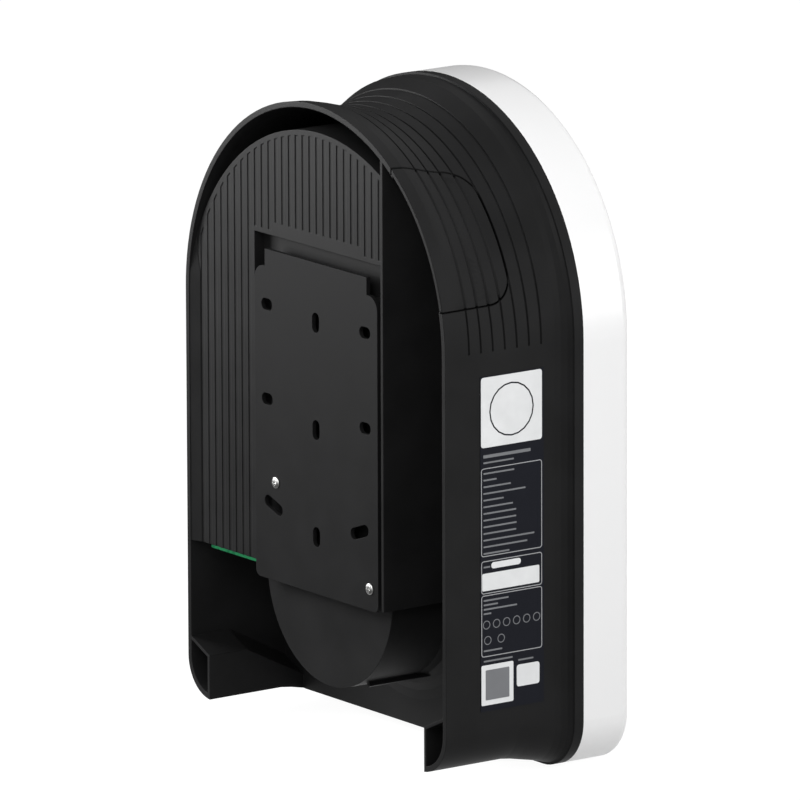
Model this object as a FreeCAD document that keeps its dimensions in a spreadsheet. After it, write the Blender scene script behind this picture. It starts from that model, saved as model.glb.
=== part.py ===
import FreeCAD, Part
import math
import os

import Sketcher
from FreeCAD import Placement, Rotation, Vector

# Wall-mounted charging unit, millimetres. X to the right seen from the front, +Z up.
# The wall is the plane Y = 0 and the front faces -Y, so a depth is a distance from the wall.
# The origin is the middle of the four outer wall-screw slots, on the wall. The heights in the
# sizes below are measured from the underside of the two rear feet.

# Driving sizes: name and value
SIZES = {
    # Outline of the rear housing
    "half_width": 119.0,
    "spring_height": 227.0,
    "wall": 3.0,
    "foot_radius": 22.0,
    # Cable-wrap saddle over the top: a smooth dip below the rear rim, then a crest to the flange
    "dip_drop": 6.6,
    "dip_span": 76.0,
    "crest_start": 56.0,
    "crest_length": 24.0,
    "crest_rise": 11.5,
    "bulkhead_depth": 62.5,
    "bottom_slope_start": 50.0,
    # Flange that the front cover meets
    "flange_depth": 80.2,
    "flange_growth": 6.2,
    "flange_sink": 8.0,
    "flare_length": 8.5,
    "flare_step": 1.2,
    "flare_sink": 4.4,
    "seam_depth": 86.2,
    "front_depth": 117.5,
    # Wrap grooves round the saddle: the first one's rear edge, and from each to the next
    "groove_start": 15.05,
    "groove_pitch": 7.87,
    "groove_count": 7,
    "groove_width": 1.1,
    "groove_cut": 0.8,
    # Sealed box behind the ribbed panel
    "panel_depth": 3.0,
    "panel_over": 3.0,
    "panel_below_spring": 19.0,
    "panel_bottom": 86.0,
    "partition_face": 61.0,
    "partition_wall": 2.0,
    "partition_bottom": 80.0,
    "rib_pitch": 6.3,
    "rib_count": 28,
    "rib_start": 56.2,
    "rib_width": 2.8,
    "rib_cut": 0.4,
    "rib_margin": 3.0,
    "rib_edge": 1.0,
    "rib_overrun": 5.0,
    "rib_low_band": 2.8,
    "rib_high_band": 7.4,
    "rib_band_half": 40.0,
    # Recess for the wall bracket, on the face of the socket boss
    "recess_half": 58.5,
    "recess_depth": 9.7,
    "recess_top": 267.0,
    "boss_radius": 57.5,
    "boss_blend": 14.0,
    "socket_height": 83.5,
    "boss_rib_angle": 62.0,
    "boss_rib_root": 17.5,
    "boss_rib_height": 2.5,
    "boss_rib_width": 2.2,
    "boss_rib_start": 16.0,
    # Feet
    "foot_width": 20.0,
    "foot_height": 24.7,
    "foot_rise": 8.3,
    "foot_wall": 1.8,
    "foot_level": 25.0,
    "foot_toe": 5.0,
    # Side access cover on the shoulder
    "door_inward": 48.0,
    "door_above_spring": 25.3,
    "door_depth": 47.0,
    "door_radius": 15.0,
    "door_gap": 0.5,
    "door_ledge": 2.5,
    "door_ledge_wall": 1.8,
    # Wall bracket
    "bracket_setback": 1.2,
    "bracket_thick": 2.5,
    "bracket_width": 112.4,
    "bracket_bottom": 78.0,
    "bracket_shoulder": 249.9,
    "bracket_tab_width": 93.3,
    "bracket_tab_height": 9.5,
    "bracket_corner": 8.0,
    "bracket_foot_corner": 4.0,
    "side_slot_half": 44.9,
    "side_slot_low": 177.1,
    "side_slot_rise": 52.0,
    "side_slot_length": 10.0,
    "centre_slot_low": 109.3,
    "centre_slot_pitch": 58.7,
    "centre_slot_length": 10.9,
    "slot_width": 6.4,
    "tilt_slot_half": 39.5,
    "tilt_slot_height": 119.4,
    "tilt_slot_length": 17.0,
    "tilt_slot_angle": 19.0,
    "bracket_screw_x": 37.4,
    "bracket_screw_high": 132.4,
    "bracket_screw_other_x": 48.5,
    "bracket_screw_low": 90.1,
    "seat_radius": 6.0,
    "seat_inset": 8.0,
    "seat_low": 14.0,
    # Label and green strip
    "label_width": 41.6,
    "label_bottom": 33.3,
    "label_height": 182.0,
    "label_thick": 0.3,
    "label_depth": 22.6,
    "strip_gap": 2.3,
    "strip_margin": 18.4,
    "strip_thick": 1.5,
    "strip_reach": 16.0,
    # Sealing between housing and inner cover
    "cavity_inset": 3.5,
    "bulkhead_wall": 3.0,
    "seal_groove_inset": 4.2,
    "seal_width": 2.0,
    "seal_groove_depth": 1.6,
    "inner_cover_wall": 2.5,
    "inner_cover_gap": 0.3,
    "cover_wall": 3.0,
    "cover_edge_radius": 5.0,
    "cover_boss_radius": 4.5,
    "cover_boss_inset": 7.5,
    "cover_lug_width": 10.0,
    "cover_lug_length": 22.0,
    # Fasteners
    "screw_radius": 1.75,
    "screw_head_radius": 3.4,
    "screw_head_height": 2.2,
    "screw_length": 12.0,
    "low_head_radius": 3.1,
    "low_head_height": 1.0,
    "low_head_crown": 2.0,
    "sunk_head_height": 1.6,
    "head_gap": 0.3,
    "thread_gap": 0.02,
    # Socket outlet
    "socket_radius": 31.0,
    "socket_mouth": 2.5,
    "well_radius": 28.5,
    "well_flat": 22.0,
    "insert_radius": 22.5,
    "insert_flat": 16.5,
    "insert_setback": 9.0,
    "socket_back": 20.0,
    "carrier_fit": 0.1,
    "socket_plate_half": 37.0,
    "socket_plate_thick": 3.0,
    "power_pin_radius": 4.0,
    "power_pin_bore": 3.0,
    "signal_pin_radius": 2.6,
    "signal_pin_bore": 1.5,
    "pin_length": 46.0,
    "outer_pin_x": 14.0,
    "lower_pin_x": 8.0,
    "pin_row_drop": 1.0,
    "lower_pin_drop": 13.0,
    "signal_pin_x": 7.5,
    "signal_pin_rise": 9.5,
    "pin_tail": 10.0,
    "pin_fit": 0.05,
    # Socket flap and its hinge
    "flap_radius": 34.5,
    "flap_gap": 0.6,
    "flap_thick": 2.6,
    "hinge_height": 37.5,
    "hinge_radius": 3.0,
    "hinge_half": 14.0,
    "hinge_pin_radius": 1.25,
    "hinge_fit": 0.08,
    "hinge_lug": 4.0,
    "hinge_play": 0.4,
    "spring_wire": 0.5,
    "spring_space": 9.0,
    # Plug lock
    "lock_pin_radius": 2.5,
    "lock_pin_length": 16.0,
    "lock_fit": 0.08,
    "lock_width": 22.0,
    "lock_height": 26.0,
    "lock_length": 30.0,
    "lock_front": 7.0,
    "lock_gap": 0.7,
    # Boards and what they carry
    "board_thick": 1.6,
    "board_left": 50.0,
    "board_right": 76.0,
    "board_bottom": 152.0,
    "board_top": 275.0,
    "board_depth": 38.0,
    "board_inset": 6.0,
    "post_radius": 4.0,
    "contactor_width": 46.0,
    "contactor_height": 62.0,
    "contactor_depth": 36.0,
    "contactor_step": 14.0,
    "terminal_width": 62.0,
    "terminal_height": 18.0,
    "terminal_depth": 20.0,
    "terminal_pitch": 11.5,
    "terminal_count": 5,
    "sensor_radius": 17.0,
    "sensor_bore": 9.0,
    "sensor_depth": 14.0,
    "light_board_width": 110.0,
    "light_board_height": 34.0,
    "light_board_stand": 6.0,
    "light_width": 70.0,
    "light_height": 5.0,
    "light_rise": 70.0,
    "reader_size": 52.0,
    "reader_rise": 150.0,
    # Supply cable grommet in the cable channel
    "grommet_height": 190.0,
    "grommet_radius": 14.0,
    "grommet_hole": 11.5,
    "grommet_bore": 8.0,
    "grommet_lip": 2.5,
}


class Size:
    """A number together with the sheet formula that it comes from."""

    def __init__(self, value, formula):
        self.value = float(value)
        self.formula = formula

    @staticmethod
    def of(other):
        if isinstance(other, Size):
            return other
        return Size(other, repr(float(other)))

    def __add__(self, other):
        other = Size.of(other)
        return Size(self.value + other.value, f"({self.formula} + {other.formula})")

    def __radd__(self, other):
        return Size.of(other) + self

    def __sub__(self, other):
        other = Size.of(other)
        return Size(self.value - other.value, f"({self.formula} - {other.formula})")

    def __rsub__(self, other):
        return Size.of(other) - self

    def __mul__(self, other):
        other = Size.of(other)
        return Size(self.value * other.value, f"({self.formula} * {other.formula})")

    def __rmul__(self, other):
        return Size.of(other) * self

    def __truediv__(self, other):
        other = Size.of(other)
        return Size(self.value / other.value, f"({self.formula} / {other.formula})")

    def __neg__(self):
        return Size(-self.value, f"(0 - {self.formula})")


def sheet_of_sizes(doc):
    """Write the driving sizes into a sheet and return them as an object with one field each."""
    sheet = doc.addObject("Spreadsheet::Sheet", "Sizes")
    fields = {}
    for row, (name, value) in enumerate(SIZES.items(), start=1):
        sheet.set(f"A{row}", name)
        sheet.set(f"B{row}", str(value))
        sheet.setAlias(f"B{row}", name)
        fields[name] = Size(value, f"Sizes.{name}")
    doc.recompute()
    return type("SheetSizes", (), fields)


doc = FreeCAD.newDocument("ev_wallbox")
S = sheet_of_sizes(doc)


# Binding, placing and combining

def origin_height():
    """Height of the origin over the underside of the feet: the middle of the wall slots."""
    return S.side_slot_low + S.side_slot_rise / 2


def bind(item, path, size):
    """Set one property of an object from a size."""
    item.setExpression(path, Size.of(size).formula)


def place(item, x=0, depth=0, z=0, turn=None):
    """Put an object at a point given by X, depth from the wall and height."""
    spin = turn if turn else Rotation()
    above = Size.of(z) - origin_height()
    where = Vector(Size.of(x).value, -Size.of(depth).value, above.value)
    item.Placement = Placement(where, spin)
    bind(item, "Placement.Base.x", x)
    bind(item, "Placement.Base.y", -Size.of(depth))
    bind(item, "Placement.Base.z", above)
    return item


def block(name, x0, x1, depth0, depth1, z0, z1):
    """A box between two X values, two depths and two heights."""
    item = doc.addObject("Part::Box", name)
    bind(item, "Length", x1 - x0)
    bind(item, "Width", depth1 - depth0)
    bind(item, "Height", z1 - z0)
    return place(item, x0, depth1, z0)


FACING_FRONT = Rotation(Vector(1, 0, 0), 90)
FACING_RIGHT = Rotation(Vector(0, 1, 0), 90)


def rod(name, x, depth0, depth1, z, radius):
    """A cylinder that runs from one depth to a deeper one."""
    item = doc.addObject("Part::Cylinder", name)
    bind(item, "Radius", radius)
    bind(item, "Height", depth1 - depth0)
    return place(item, x, depth0, z, FACING_FRONT)


def post(name, x, depth, z0, z1, radius):
    """A cylinder that stands from one height to another."""
    item = doc.addObject("Part::Cylinder", name)
    bind(item, "Radius", radius)
    bind(item, "Height", z1 - z0)
    return place(item, x, depth, z0)


def bar(name, x0, x1, depth, z, radius):
    """A cylinder that lies along X."""
    item = doc.addObject("Part::Cylinder", name)
    bind(item, "Radius", radius)
    bind(item, "Height", x1 - x0)
    return place(item, x0, depth, z, FACING_RIGHT)


def join(name, shapes):
    """Several solids as one."""
    if len(shapes) == 1:
        return shapes[0]
    item = doc.addObject("Part::MultiFuse", name)
    item.Shapes = shapes
    return item


def cut(name, base, tools):
    """A solid less one or more others."""
    item = doc.addObject("Part::Cut", name)
    item.Base = base
    item.Tool = join(name + "Tools", tools) if isinstance(tools, list) else tools
    return item


def meet(name, first, second):
    """What two solids share."""
    item = doc.addObject("Part::Common", name)
    item.Base = first
    item.Tool = second
    return item


def group(name, solids):
    """Like pieces that stay separate solids in one node."""
    item = doc.addObject("Part::Compound", name)
    item.Links = solids
    return item


# Sketches

def free_sketch(name, depth):
    """A sketch that faces the front at a depth: its x is X and its y is the height."""
    sketch = doc.addObject("Sketcher::SketchObject", name)
    return place(sketch, 0, depth, 0, FACING_FRONT)


def side_sketch(name, x):
    """A sketch that faces right at an X value: its x is minus the depth, its y the height."""
    sketch = doc.addObject("Sketcher::SketchObject", name)
    spin = Rotation(Vector(0, 1, 0), Vector(0, 0, 1), Vector(1, 0, 0), "ZXY")
    return place(sketch, x, 0, 0, spin)


def top_sketch(name, z):
    """A sketch that faces up at a height: its x is X and its y is minus the depth."""
    sketch = doc.addObject("Sketcher::SketchObject", name)
    return place(sketch, 0, 0, z)


def body_sketch(body, name, plane, offset=0):
    """A sketch on one of a body's own origin planes, moved along the plane's normal."""
    sketch = body.newObject("Sketcher::SketchObject", name)
    support = [item for item in body.Origin.OriginFeatures if item.Role == plane][0]
    sketch.AttachmentSupport = [(support, "")]
    sketch.MapMode = "FlatFace"
    sketch.AttachmentOffset = Placement(Vector(0, 0, Size.of(offset).value), Rotation())
    bind(sketch, "AttachmentOffset.Base.z", offset)
    return sketch


def dimension(sketch, kind, *where, size):
    """Add a dimension and tie it to a size."""
    size = Size.of(size)
    index = sketch.addConstraint(Sketcher.Constraint(kind, *where, size.value))
    bind(sketch, f"Constraints[{index}]", size)


def polygon(sketch, points):
    """A closed run of lines with every corner placed by a pair of sizes."""
    corners = [(Size.of(x), Size.of(y)) for x, y in points]
    first = sketch.GeometryCount
    count = len(corners)
    for index in range(count):
        here = Vector(corners[index][0].value, corners[index][1].value, 0)
        after = corners[(index + 1) % count]
        sketch.addGeometry(Part.LineSegment(here, Vector(after[0].value, after[1].value, 0)))
    for index in range(count):
        following = first + (index + 1) % count
        sketch.addConstraint(Sketcher.Constraint("Coincident", first + index, 2, following, 1))
        x, y = corners[index]
        dimension(sketch, "DistanceX", -1, 1, first + index, 1, size=x)
        dimension(sketch, "DistanceY", -1, 1, first + index, 1, size=y)
    return sketch


def rectangle(sketch, x0, x1, y0, y1):
    return polygon(sketch, [(x0, y0), (x1, y0), (x1, y1), (x0, y1)])


def rounded_rectangle(sketch, x0, x1, y0, y1, radius):
    """A rectangle with four equal round corners."""
    x0, x1, y0, y1, radius = (Size.of(item) for item in (x0, x1, y0, y1, radius))
    left, right, low, high, r = (item.value for item in (x0, x1, y0, y1, radius))
    first = sketch.GeometryCount
    quarter = math.pi / 2
    centres = [Vector(right - r, low + r, 0), Vector(right - r, high - r, 0),
               Vector(left + r, high - r, 0), Vector(left + r, low + r, 0)]
    sides = [(Vector(left + r, low, 0), Vector(right - r, low, 0)),
             (Vector(right, low + r, 0), Vector(right, high - r, 0)),
             (Vector(right - r, high, 0), Vector(left + r, high, 0)),
             (Vector(left, high - r, 0), Vector(left, low + r, 0))]
    for index in range(4):
        sketch.addGeometry(Part.LineSegment(*sides[index]))
        ring = Part.Circle(centres[index], Vector(0, 0, 1), r)
        start = quarter * (index - 1)
        sketch.addGeometry(Part.ArcOfCircle(ring, start, start + quarter))
    for index in range(8):
        after = first + (index + 1) % 8
        sketch.addConstraint(Sketcher.Constraint("Tangent", first + index, 2, after, 1))
    for index, way in ((0, "Horizontal"), (2, "Vertical"), (4, "Horizontal"), (6, "Vertical")):
        sketch.addConstraint(Sketcher.Constraint(way, first + index))
    for index in (3, 5, 7):
        sketch.addConstraint(Sketcher.Constraint("Equal", first + 1, first + index))
    dimension(sketch, "Radius", first + 1, size=radius)
    dimension(sketch, "DistanceY", -1, 1, first, 1, size=y0)
    dimension(sketch, "DistanceX", -1, 1, first + 2, 1, size=x1)
    dimension(sketch, "DistanceY", -1, 1, first + 4, 1, size=y1)
    dimension(sketch, "DistanceX", -1, 1, first + 6, 1, size=x0)
    return sketch


def disc(sketch, x, y, radius):
    """A circle placed and sized by sizes."""
    index = sketch.GeometryCount
    centre = Vector(Size.of(x).value, Size.of(y).value, 0)
    sketch.addGeometry(Part.Circle(centre, Vector(0, 0, 1), Size.of(radius).value))
    dimension(sketch, "DistanceX", -1, 1, index, 3, size=x)
    dimension(sketch, "DistanceY", -1, 1, index, 3, size=y)
    dimension(sketch, "Radius", index, size=radius)
    return sketch


def arch(sketch, half, spring, bottom, corner):
    """A round-topped outline: a half circle on two upright sides, with rounded feet."""
    half, spring = Size.of(half), Size.of(spring)
    bottom, corner = Size.of(bottom), Size.of(corner)
    axis = Vector(0, 0, 1)
    w, top, low, r = half.value, spring.value, bottom.value, corner.value
    first = sketch.GeometryCount
    quarter = math.pi / 2
    left = Part.Circle(Vector(r - w, low + r, 0), axis, r)
    right = Part.Circle(Vector(w - r, low + r, 0), axis, r)
    sketch.addGeometry(Part.ArcOfCircle(Part.Circle(Vector(0, top, 0), axis, w), 0, math.pi))
    sketch.addGeometry(Part.LineSegment(Vector(-w, top, 0), Vector(-w, low + r, 0)))
    sketch.addGeometry(Part.ArcOfCircle(left, 2 * quarter, 3 * quarter))
    sketch.addGeometry(Part.LineSegment(Vector(r - w, low, 0), Vector(w - r, low, 0)))
    sketch.addGeometry(Part.ArcOfCircle(right, 3 * quarter, 4 * quarter))
    sketch.addGeometry(Part.LineSegment(Vector(w, low + r, 0), Vector(w, top, 0)))
    for index in range(6):
        after = first + (index + 1) % 6
        sketch.addConstraint(Sketcher.Constraint("Tangent", first + index, 2, after, 1))
    sketch.addConstraint(Sketcher.Constraint("PointOnObject", first, 3, -2))
    sketch.addConstraint(Sketcher.Constraint("Vertical", first + 1))
    sketch.addConstraint(Sketcher.Constraint("Vertical", first + 5))
    sketch.addConstraint(Sketcher.Constraint("Horizontal", first + 3))
    sketch.addConstraint(Sketcher.Constraint("Equal", first + 2, first + 4))
    dimension(sketch, "Radius", first, size=half)
    dimension(sketch, "Radius", first + 2, size=corner)
    dimension(sketch, "DistanceY", -1, 1, first, 3, size=spring)
    dimension(sketch, "DistanceY", -1, 1, first + 3, 1, size=bottom)
    return sketch


def obround(sketch, x, y, length, width, angle=0.0):
    """A slot with round ends, centred on a point and turned by an angle in degrees."""
    x, y = Size.of(x), Size.of(y)
    length, width, angle = Size.of(length), Size.of(width), Size.of(angle)
    reach = (length - width) / 2
    slope = math.radians(angle.value)
    along_x = Size(reach.value * math.cos(slope), f"({reach.formula} * cos({angle.formula}))")
    along_y = Size(reach.value * math.sin(slope), f"({reach.formula} * sin({angle.formula}))")
    first = sketch.GeometryCount
    axis = Vector(0, 0, 1)
    near = Vector((x - along_x).value, (y - along_y).value, 0)
    far = Vector((x + along_x).value, (y + along_y).value, 0)
    r = width.value / 2
    side = Vector(-math.sin(slope), math.cos(slope), 0) * r
    quarter = math.pi / 2
    near_ring = Part.Circle(near, axis, r)
    far_ring = Part.Circle(far, axis, r)
    sketch.addGeometry(Part.ArcOfCircle(near_ring, slope + quarter, slope + 3 * quarter))
    sketch.addGeometry(Part.LineSegment(near - side, far - side))
    sketch.addGeometry(Part.ArcOfCircle(far_ring, slope - quarter, slope + quarter))
    sketch.addGeometry(Part.LineSegment(far + side, near + side))
    for index in range(4):
        after = first + (index + 1) % 4
        sketch.addConstraint(Sketcher.Constraint("Tangent", first + index, 2, after, 1))
    sketch.addConstraint(Sketcher.Constraint("Equal", first, first + 2))
    dimension(sketch, "Radius", first, size=width / 2)
    dimension(sketch, "DistanceX", -1, 1, first, 3, size=x - along_x)
    dimension(sketch, "DistanceY", -1, 1, first, 3, size=y - along_y)
    dimension(sketch, "DistanceX", -1, 1, first + 2, 3, size=x + along_x)
    dimension(sketch, "DistanceY", -1, 1, first + 2, 3, size=y + along_y)
    return sketch


# Solids from sketches

def extrude(name, sketch, length):
    """A prism from a sketch, along the way that the sketch faces."""
    item = doc.addObject("Part::Extrusion", name)
    item.Base = sketch
    item.DirMode = "Normal"
    item.Solid = True
    bind(item, "LengthFwd", length)
    return item


def loft(name, sections, ruled=False):
    item = doc.addObject("Part::Loft", name)
    item.Sections = sections
    item.Solid = True
    item.Ruled = ruled
    return item


def new_body(name):
    return place(doc.addObject("PartDesign::Body", name))


def pad(body, name, sketch, length):
    item = body.newObject("PartDesign::Pad", name)
    item.Profile = sketch
    bind(item, "Length", length)
    return item


def pocket(body, name, sketch, length, forward=False):
    """Cut a sketch backwards into a body, or forwards, and make sure that it does cut."""
    doc.recompute()
    before = body.Shape.Volume
    item = body.newObject("PartDesign::Pocket", name)
    item.Profile = sketch
    item.Reversed = forward
    bind(item, "Length", length)
    doc.recompute()
    if not body.Shape.Volume < before:
        raise ValueError(f"{name} cuts nothing")
    return item


def revolve(body, name, sketch):
    item = body.newObject("PartDesign::Revolution", name)
    item.Profile = sketch
    item.ReferenceAxis = (sketch, ["V_Axis"])
    item.Angle = 360
    return item


def round_edges(body, name, feature, radius, wanted):
    """Fillet the edges of a feature that a test picks by their geometry."""
    doc.recompute()
    picked = [
        f"Edge{index}"
        for index, edge in enumerate(feature.Shape.Edges, start=1)
        if wanted(edge)
    ]
    item = body.newObject("PartDesign::Fillet", name)
    item.Base = (feature, picked)
    bind(item, "Radius", radius)
    return item


def at_depth(depth, edge):
    """Whether an edge lies wholly at one depth."""
    box = edge.BoundBox
    return abs(box.YMin + depth) < 1e-4 and abs(box.YMax + depth) < 1e-4


def turned(name, profile, x=0, depth=0, z=0, turn=None):
    """A body turned about its own Y axis from points of radius and distance along it."""
    body = new_body(name)
    sketch = body_sketch(body, name + "Profile", "XY_Plane")
    polygon(sketch, profile)
    revolve(body, name + "Turn", sketch)
    return place(body, x, depth, z, turn)


POINTING_UP = Rotation(Vector(1, 0, 0), 90)
POINTING_RIGHT = Rotation(Vector(0, 0, 1), -90)


def screw(name, x, depth, z, turn, length, height=None):
    """A hexagon screw: the head stands behind the given point, the shank in front."""
    height = height or S.screw_head_height
    body = new_body(name)
    outline = body_sketch(body, name + "HeadOutline", "XZ_Plane", -height)
    corners = [math.radians(60 * index) for index in range(6)]
    polygon(outline, [(S.screw_head_radius * math.cos(angle),
                       S.screw_head_radius * math.sin(angle)) for angle in corners])
    pad(body, name + "Head", outline, height)
    stem = body_sketch(body, name + "ShankOutline", "XZ_Plane")
    disc(stem, 0, 0, S.screw_radius)
    pad(body, name + "Shank", stem, length)
    return place(body, x, depth, z, turn)


# Places that follow from the driving sizes

def panel_radius():
    return S.half_width + S.panel_over


def panel_centre():
    return S.spring_height - S.panel_below_spring


def panel_top():
    return panel_centre() + panel_radius()


def door_side():
    """Distance of the access cover's inner edge from the middle."""
    return S.half_width - S.door_inward


def door_bottom():
    return S.spring_height + S.door_above_spring


def grommet_x():
    """The grommet sits in the middle of the cable channel."""
    return (S.half_width - S.wall + S.partition_face + S.partition_wall) / 2


# Stations of the saddle and the flare, from the wall forwards

FLARE_ANGLES = (0, 25, 50, 76)
BLEND_STEPS = 4


def saddle_drop(depth):
    """How far the arch sits below the rear rim at a depth: a dip, then a rising crest."""
    turn = 180 * depth / S.dip_span
    wave = math.sin(math.radians(turn.value))
    drop = S.dip_drop * Size(wave ** 2, f"sin({turn.formula}) ^ 2")
    if depth.value > S.crest_start.value:
        share = (depth - S.crest_start) / S.crest_length
        drop = drop - S.crest_rise * share * share
    return drop


def bottom_sink(depth):
    """How far the underside has sloped down at a depth."""
    if depth.value <= S.bottom_slope_start.value:
        return Size(0, "0")
    run = flare_start() - S.bottom_slope_start
    return S.flare_sink * (depth - S.bottom_slope_start) / run


def flare_start():
    return S.flange_depth - S.flare_length


def groove_edges():
    """Rear and front edge of each wrap groove."""
    starts = [S.groove_start + S.groove_pitch * index
              for index in range(int(S.groove_count.value))]
    return [(start, start + S.groove_width) for start in starts]


def outer_depths():
    """Stations of the outside: the rim, both edges of each groove and the start of the flare."""
    rear = [Size(-2, "(0 - 2)"), S.groove_start / 2]
    return rear + [edge for pair in groove_edges() for edge in pair] + [flare_start()]


def inner_depths():
    """Evenly spaced stations for the faces that have no grooves."""
    count = 8
    step = flare_start() / count
    return [Size(-2, "(0 - 2)")] + [step * (index + 1) for index in range(count)]


def stations(inset, depths):
    """Depth, half width, spring height, foot level and foot radius of each section."""
    half = S.half_width - inset
    return [
        (depth, half, S.spring_height - saddle_drop(depth), inset - bottom_sink(depth),
         S.foot_radius - inset)
        for depth in depths
    ]


def flare_stations():
    """Sections of the concave flare: near a quarter ellipse at the sides, gentler on top."""
    start = flare_start()
    rise = -saddle_drop(start)
    grown = S.flange_growth - S.flare_step
    sunk = S.flange_sink - S.flare_step
    last = math.radians(FLARE_ANGLES[-1])
    rows = []
    for angle in FLARE_ANGLES:
        along = math.sin(math.radians(angle)) / math.sin(last)
        out = (1 - math.cos(math.radians(angle))) / (1 - math.cos(last))
        growth = grown * out
        above = rise + (grown - rise) * along
        below = S.flare_sink + (sunk - S.flare_sink) * along
        rows.append((start + S.flare_length * along, S.half_width + growth,
                     S.spring_height + above - growth, -below, S.foot_radius + growth))
    return rows


def arch_loft(name, rows):
    """A solid through arch-shaped sections, with straight rulings from each to the next."""
    sections = []
    for index, (depth, half, spring, bottom, corner) in enumerate(rows, start=1):
        sketch = free_sketch(f"{name}Section{index}", depth)
        sections.append(arch(sketch, half, spring, bottom, corner))
    return loft(name, sections, ruled=True)


def flange_outline(sketch, inset):
    """The outline that flange, seal, inner cover and front cover share."""
    return arch(sketch, S.half_width + S.flange_growth - inset, S.spring_height,
                inset - S.flange_sink, S.foot_radius + S.flange_growth - inset)


# Rear housing

def saddle_skin(name, inset, depths):
    """The rear housing's shape moved in by an inset, from behind the wall to the flare."""
    return arch_loft(name, stations(Size.of(inset), depths))


def behind_wall(name):
    """Everything behind the plane of the wall."""
    reach = S.half_width * 2
    return block(name, -reach, reach, Size.of(-20), Size.of(0), -reach, reach * 2)


def housing_outside():
    saddle = cut("SaddleTrimmed", saddle_skin("SaddleSkin", 0, outer_depths()), behind_wall("BehindSaddle"))
    flare = arch_loft("Flare", flare_stations())
    band = extrude("FlangeBand", flange_outline(free_sketch("FlangeOutline", S.flange_depth), 0),
                   S.seam_depth - S.flange_depth)
    return join("HousingOutside", [saddle, flare, band])


def panel_arch(sketch, radius, left, right, bottom):
    """A slice of the panel's arch between two X values, closed at the bottom."""
    left, right, bottom, radius = (Size.of(item) for item in (left, right, bottom, radius))
    centre = panel_centre()
    axis = Vector(0, 0, 1)
    left_top = centre.value + math.sqrt(radius.value ** 2 - left.value ** 2)
    right_top = centre.value + math.sqrt(radius.value ** 2 - right.value ** 2)
    first = sketch.GeometryCount
    start = math.atan2(right_top - centre.value, right.value)
    end = math.atan2(left_top - centre.value, left.value)
    ring = Part.Circle(Vector(0, centre.value, 0), axis, radius.value)
    corners = [Vector(left.value, left_top, 0), Vector(left.value, bottom.value, 0),
               Vector(right.value, bottom.value, 0), Vector(right.value, right_top, 0)]
    sketch.addGeometry(Part.ArcOfCircle(ring, start, end))
    for index in range(3):
        sketch.addGeometry(Part.LineSegment(corners[index], corners[index + 1]))
    for index in range(4):
        after = first + (index + 1) % 4
        sketch.addConstraint(Sketcher.Constraint("Coincident", first + index, 2, after, 1))
    sketch.addConstraint(Sketcher.Constraint("PointOnObject", first, 3, -2))
    sketch.addConstraint(Sketcher.Constraint("Vertical", first + 1))
    sketch.addConstraint(Sketcher.Constraint("Vertical", first + 3))
    sketch.addConstraint(Sketcher.Constraint("Horizontal", first + 2))
    dimension(sketch, "Radius", first, size=radius)
    dimension(sketch, "DistanceY", -1, 1, first, 3, size=centre)
    dimension(sketch, "DistanceX", -1, 1, first + 2, 1, size=left)
    dimension(sketch, "DistanceY", -1, 1, first + 2, 1, size=bottom)
    dimension(sketch, "DistanceX", -1, 1, first + 3, 1, size=right)
    return sketch


def box_block():
    """The outside of the sealed box, behind which the ribbed panel lies."""
    sketch = free_sketch("BoxOutline", S.panel_depth)
    panel_arch(sketch, panel_radius(), -S.partition_face, S.half_width - S.wall, S.panel_bottom)
    return extrude("BoxBlock", sketch, S.bulkhead_depth - S.panel_depth + 1)


def socket_boss():
    """The round boss that holds the socket, with a concave foot on the bulkhead."""
    body = new_body("SocketBoss")
    sketch = body_sketch(body, "SocketBossProfile", "XY_Plane")
    foot = [(0, -S.recess_depth), (S.boss_radius, -S.recess_depth)]
    for step in range(BLEND_STEPS + 1):
        angle = math.pi / 2 * step / BLEND_STEPS
        foot.append((S.boss_radius + S.boss_blend * (1 - math.cos(angle)),
                     S.boss_blend * (1 - math.sin(angle)) - S.bulkhead_depth))
    foot.append((S.boss_radius + S.boss_blend, -S.bulkhead_depth - 1))
    foot.append((0, -S.bulkhead_depth - 1))
    polygon(sketch, foot)
    revolve(body, "SocketBossTurn", sketch)
    return place(body, 0, 0, S.socket_height)


def boss_rib():
    """A short cable rib on the lower flank of the boss."""
    angle = S.boss_rib_angle
    slope = math.radians(angle.value)
    root = S.boss_radius - S.boss_rib_root
    reach = Size(root.value * math.cos(slope), f"({root.formula} * cos({angle.formula}))")
    drop = Size(root.value * math.sin(slope), f"({root.formula} * sin({angle.formula}))")
    item = doc.addObject("Part::Box", "BossRib")
    bind(item, "Length", S.boss_rib_root + S.boss_rib_height)
    bind(item, "Width", S.bulkhead_depth - S.boss_rib_start)
    bind(item, "Height", S.boss_rib_width)
    place(item, -reach, S.bulkhead_depth, S.socket_height - drop,
          Rotation(Vector(0, 1, 0), 180 - angle.value))
    item.setExpression("Placement.Rotation.Angle", f"180 - {angle.formula}")
    return item


def foot_web(side):
    """The thin inner wall and sloping web of one foot; side is 1 or -1."""
    name = "RightFoot" if side > 0 else "LeftFoot"
    inner = S.half_width - S.foot_width
    outer = S.half_width - S.wall + 1
    lean = S.foot_rise / (outer - inner)
    sections = []
    rows = [(Size.of(0), S.foot_height), (S.foot_level, S.foot_height),
            (S.bulkhead_depth + 1, S.foot_toe)]
    for index, (depth, height) in enumerate(rows):
        sketch = free_sketch(f"{name}Section{index}", depth)
        under = height - S.foot_wall
        inner_far = inner + S.foot_wall
        points = [(inner, -2 * S.flange_sink), (inner, height), (outer, height + S.foot_rise),
                  (outer, under + S.foot_rise), (inner_far, under + lean * S.foot_wall),
                  (inner_far, -2 * S.flange_sink)]
        polygon(sketch, [(x * side, z) for x, z in points])
        sections.append(sketch)
    return loft(name + "Web", sections, ruled=True)


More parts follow.
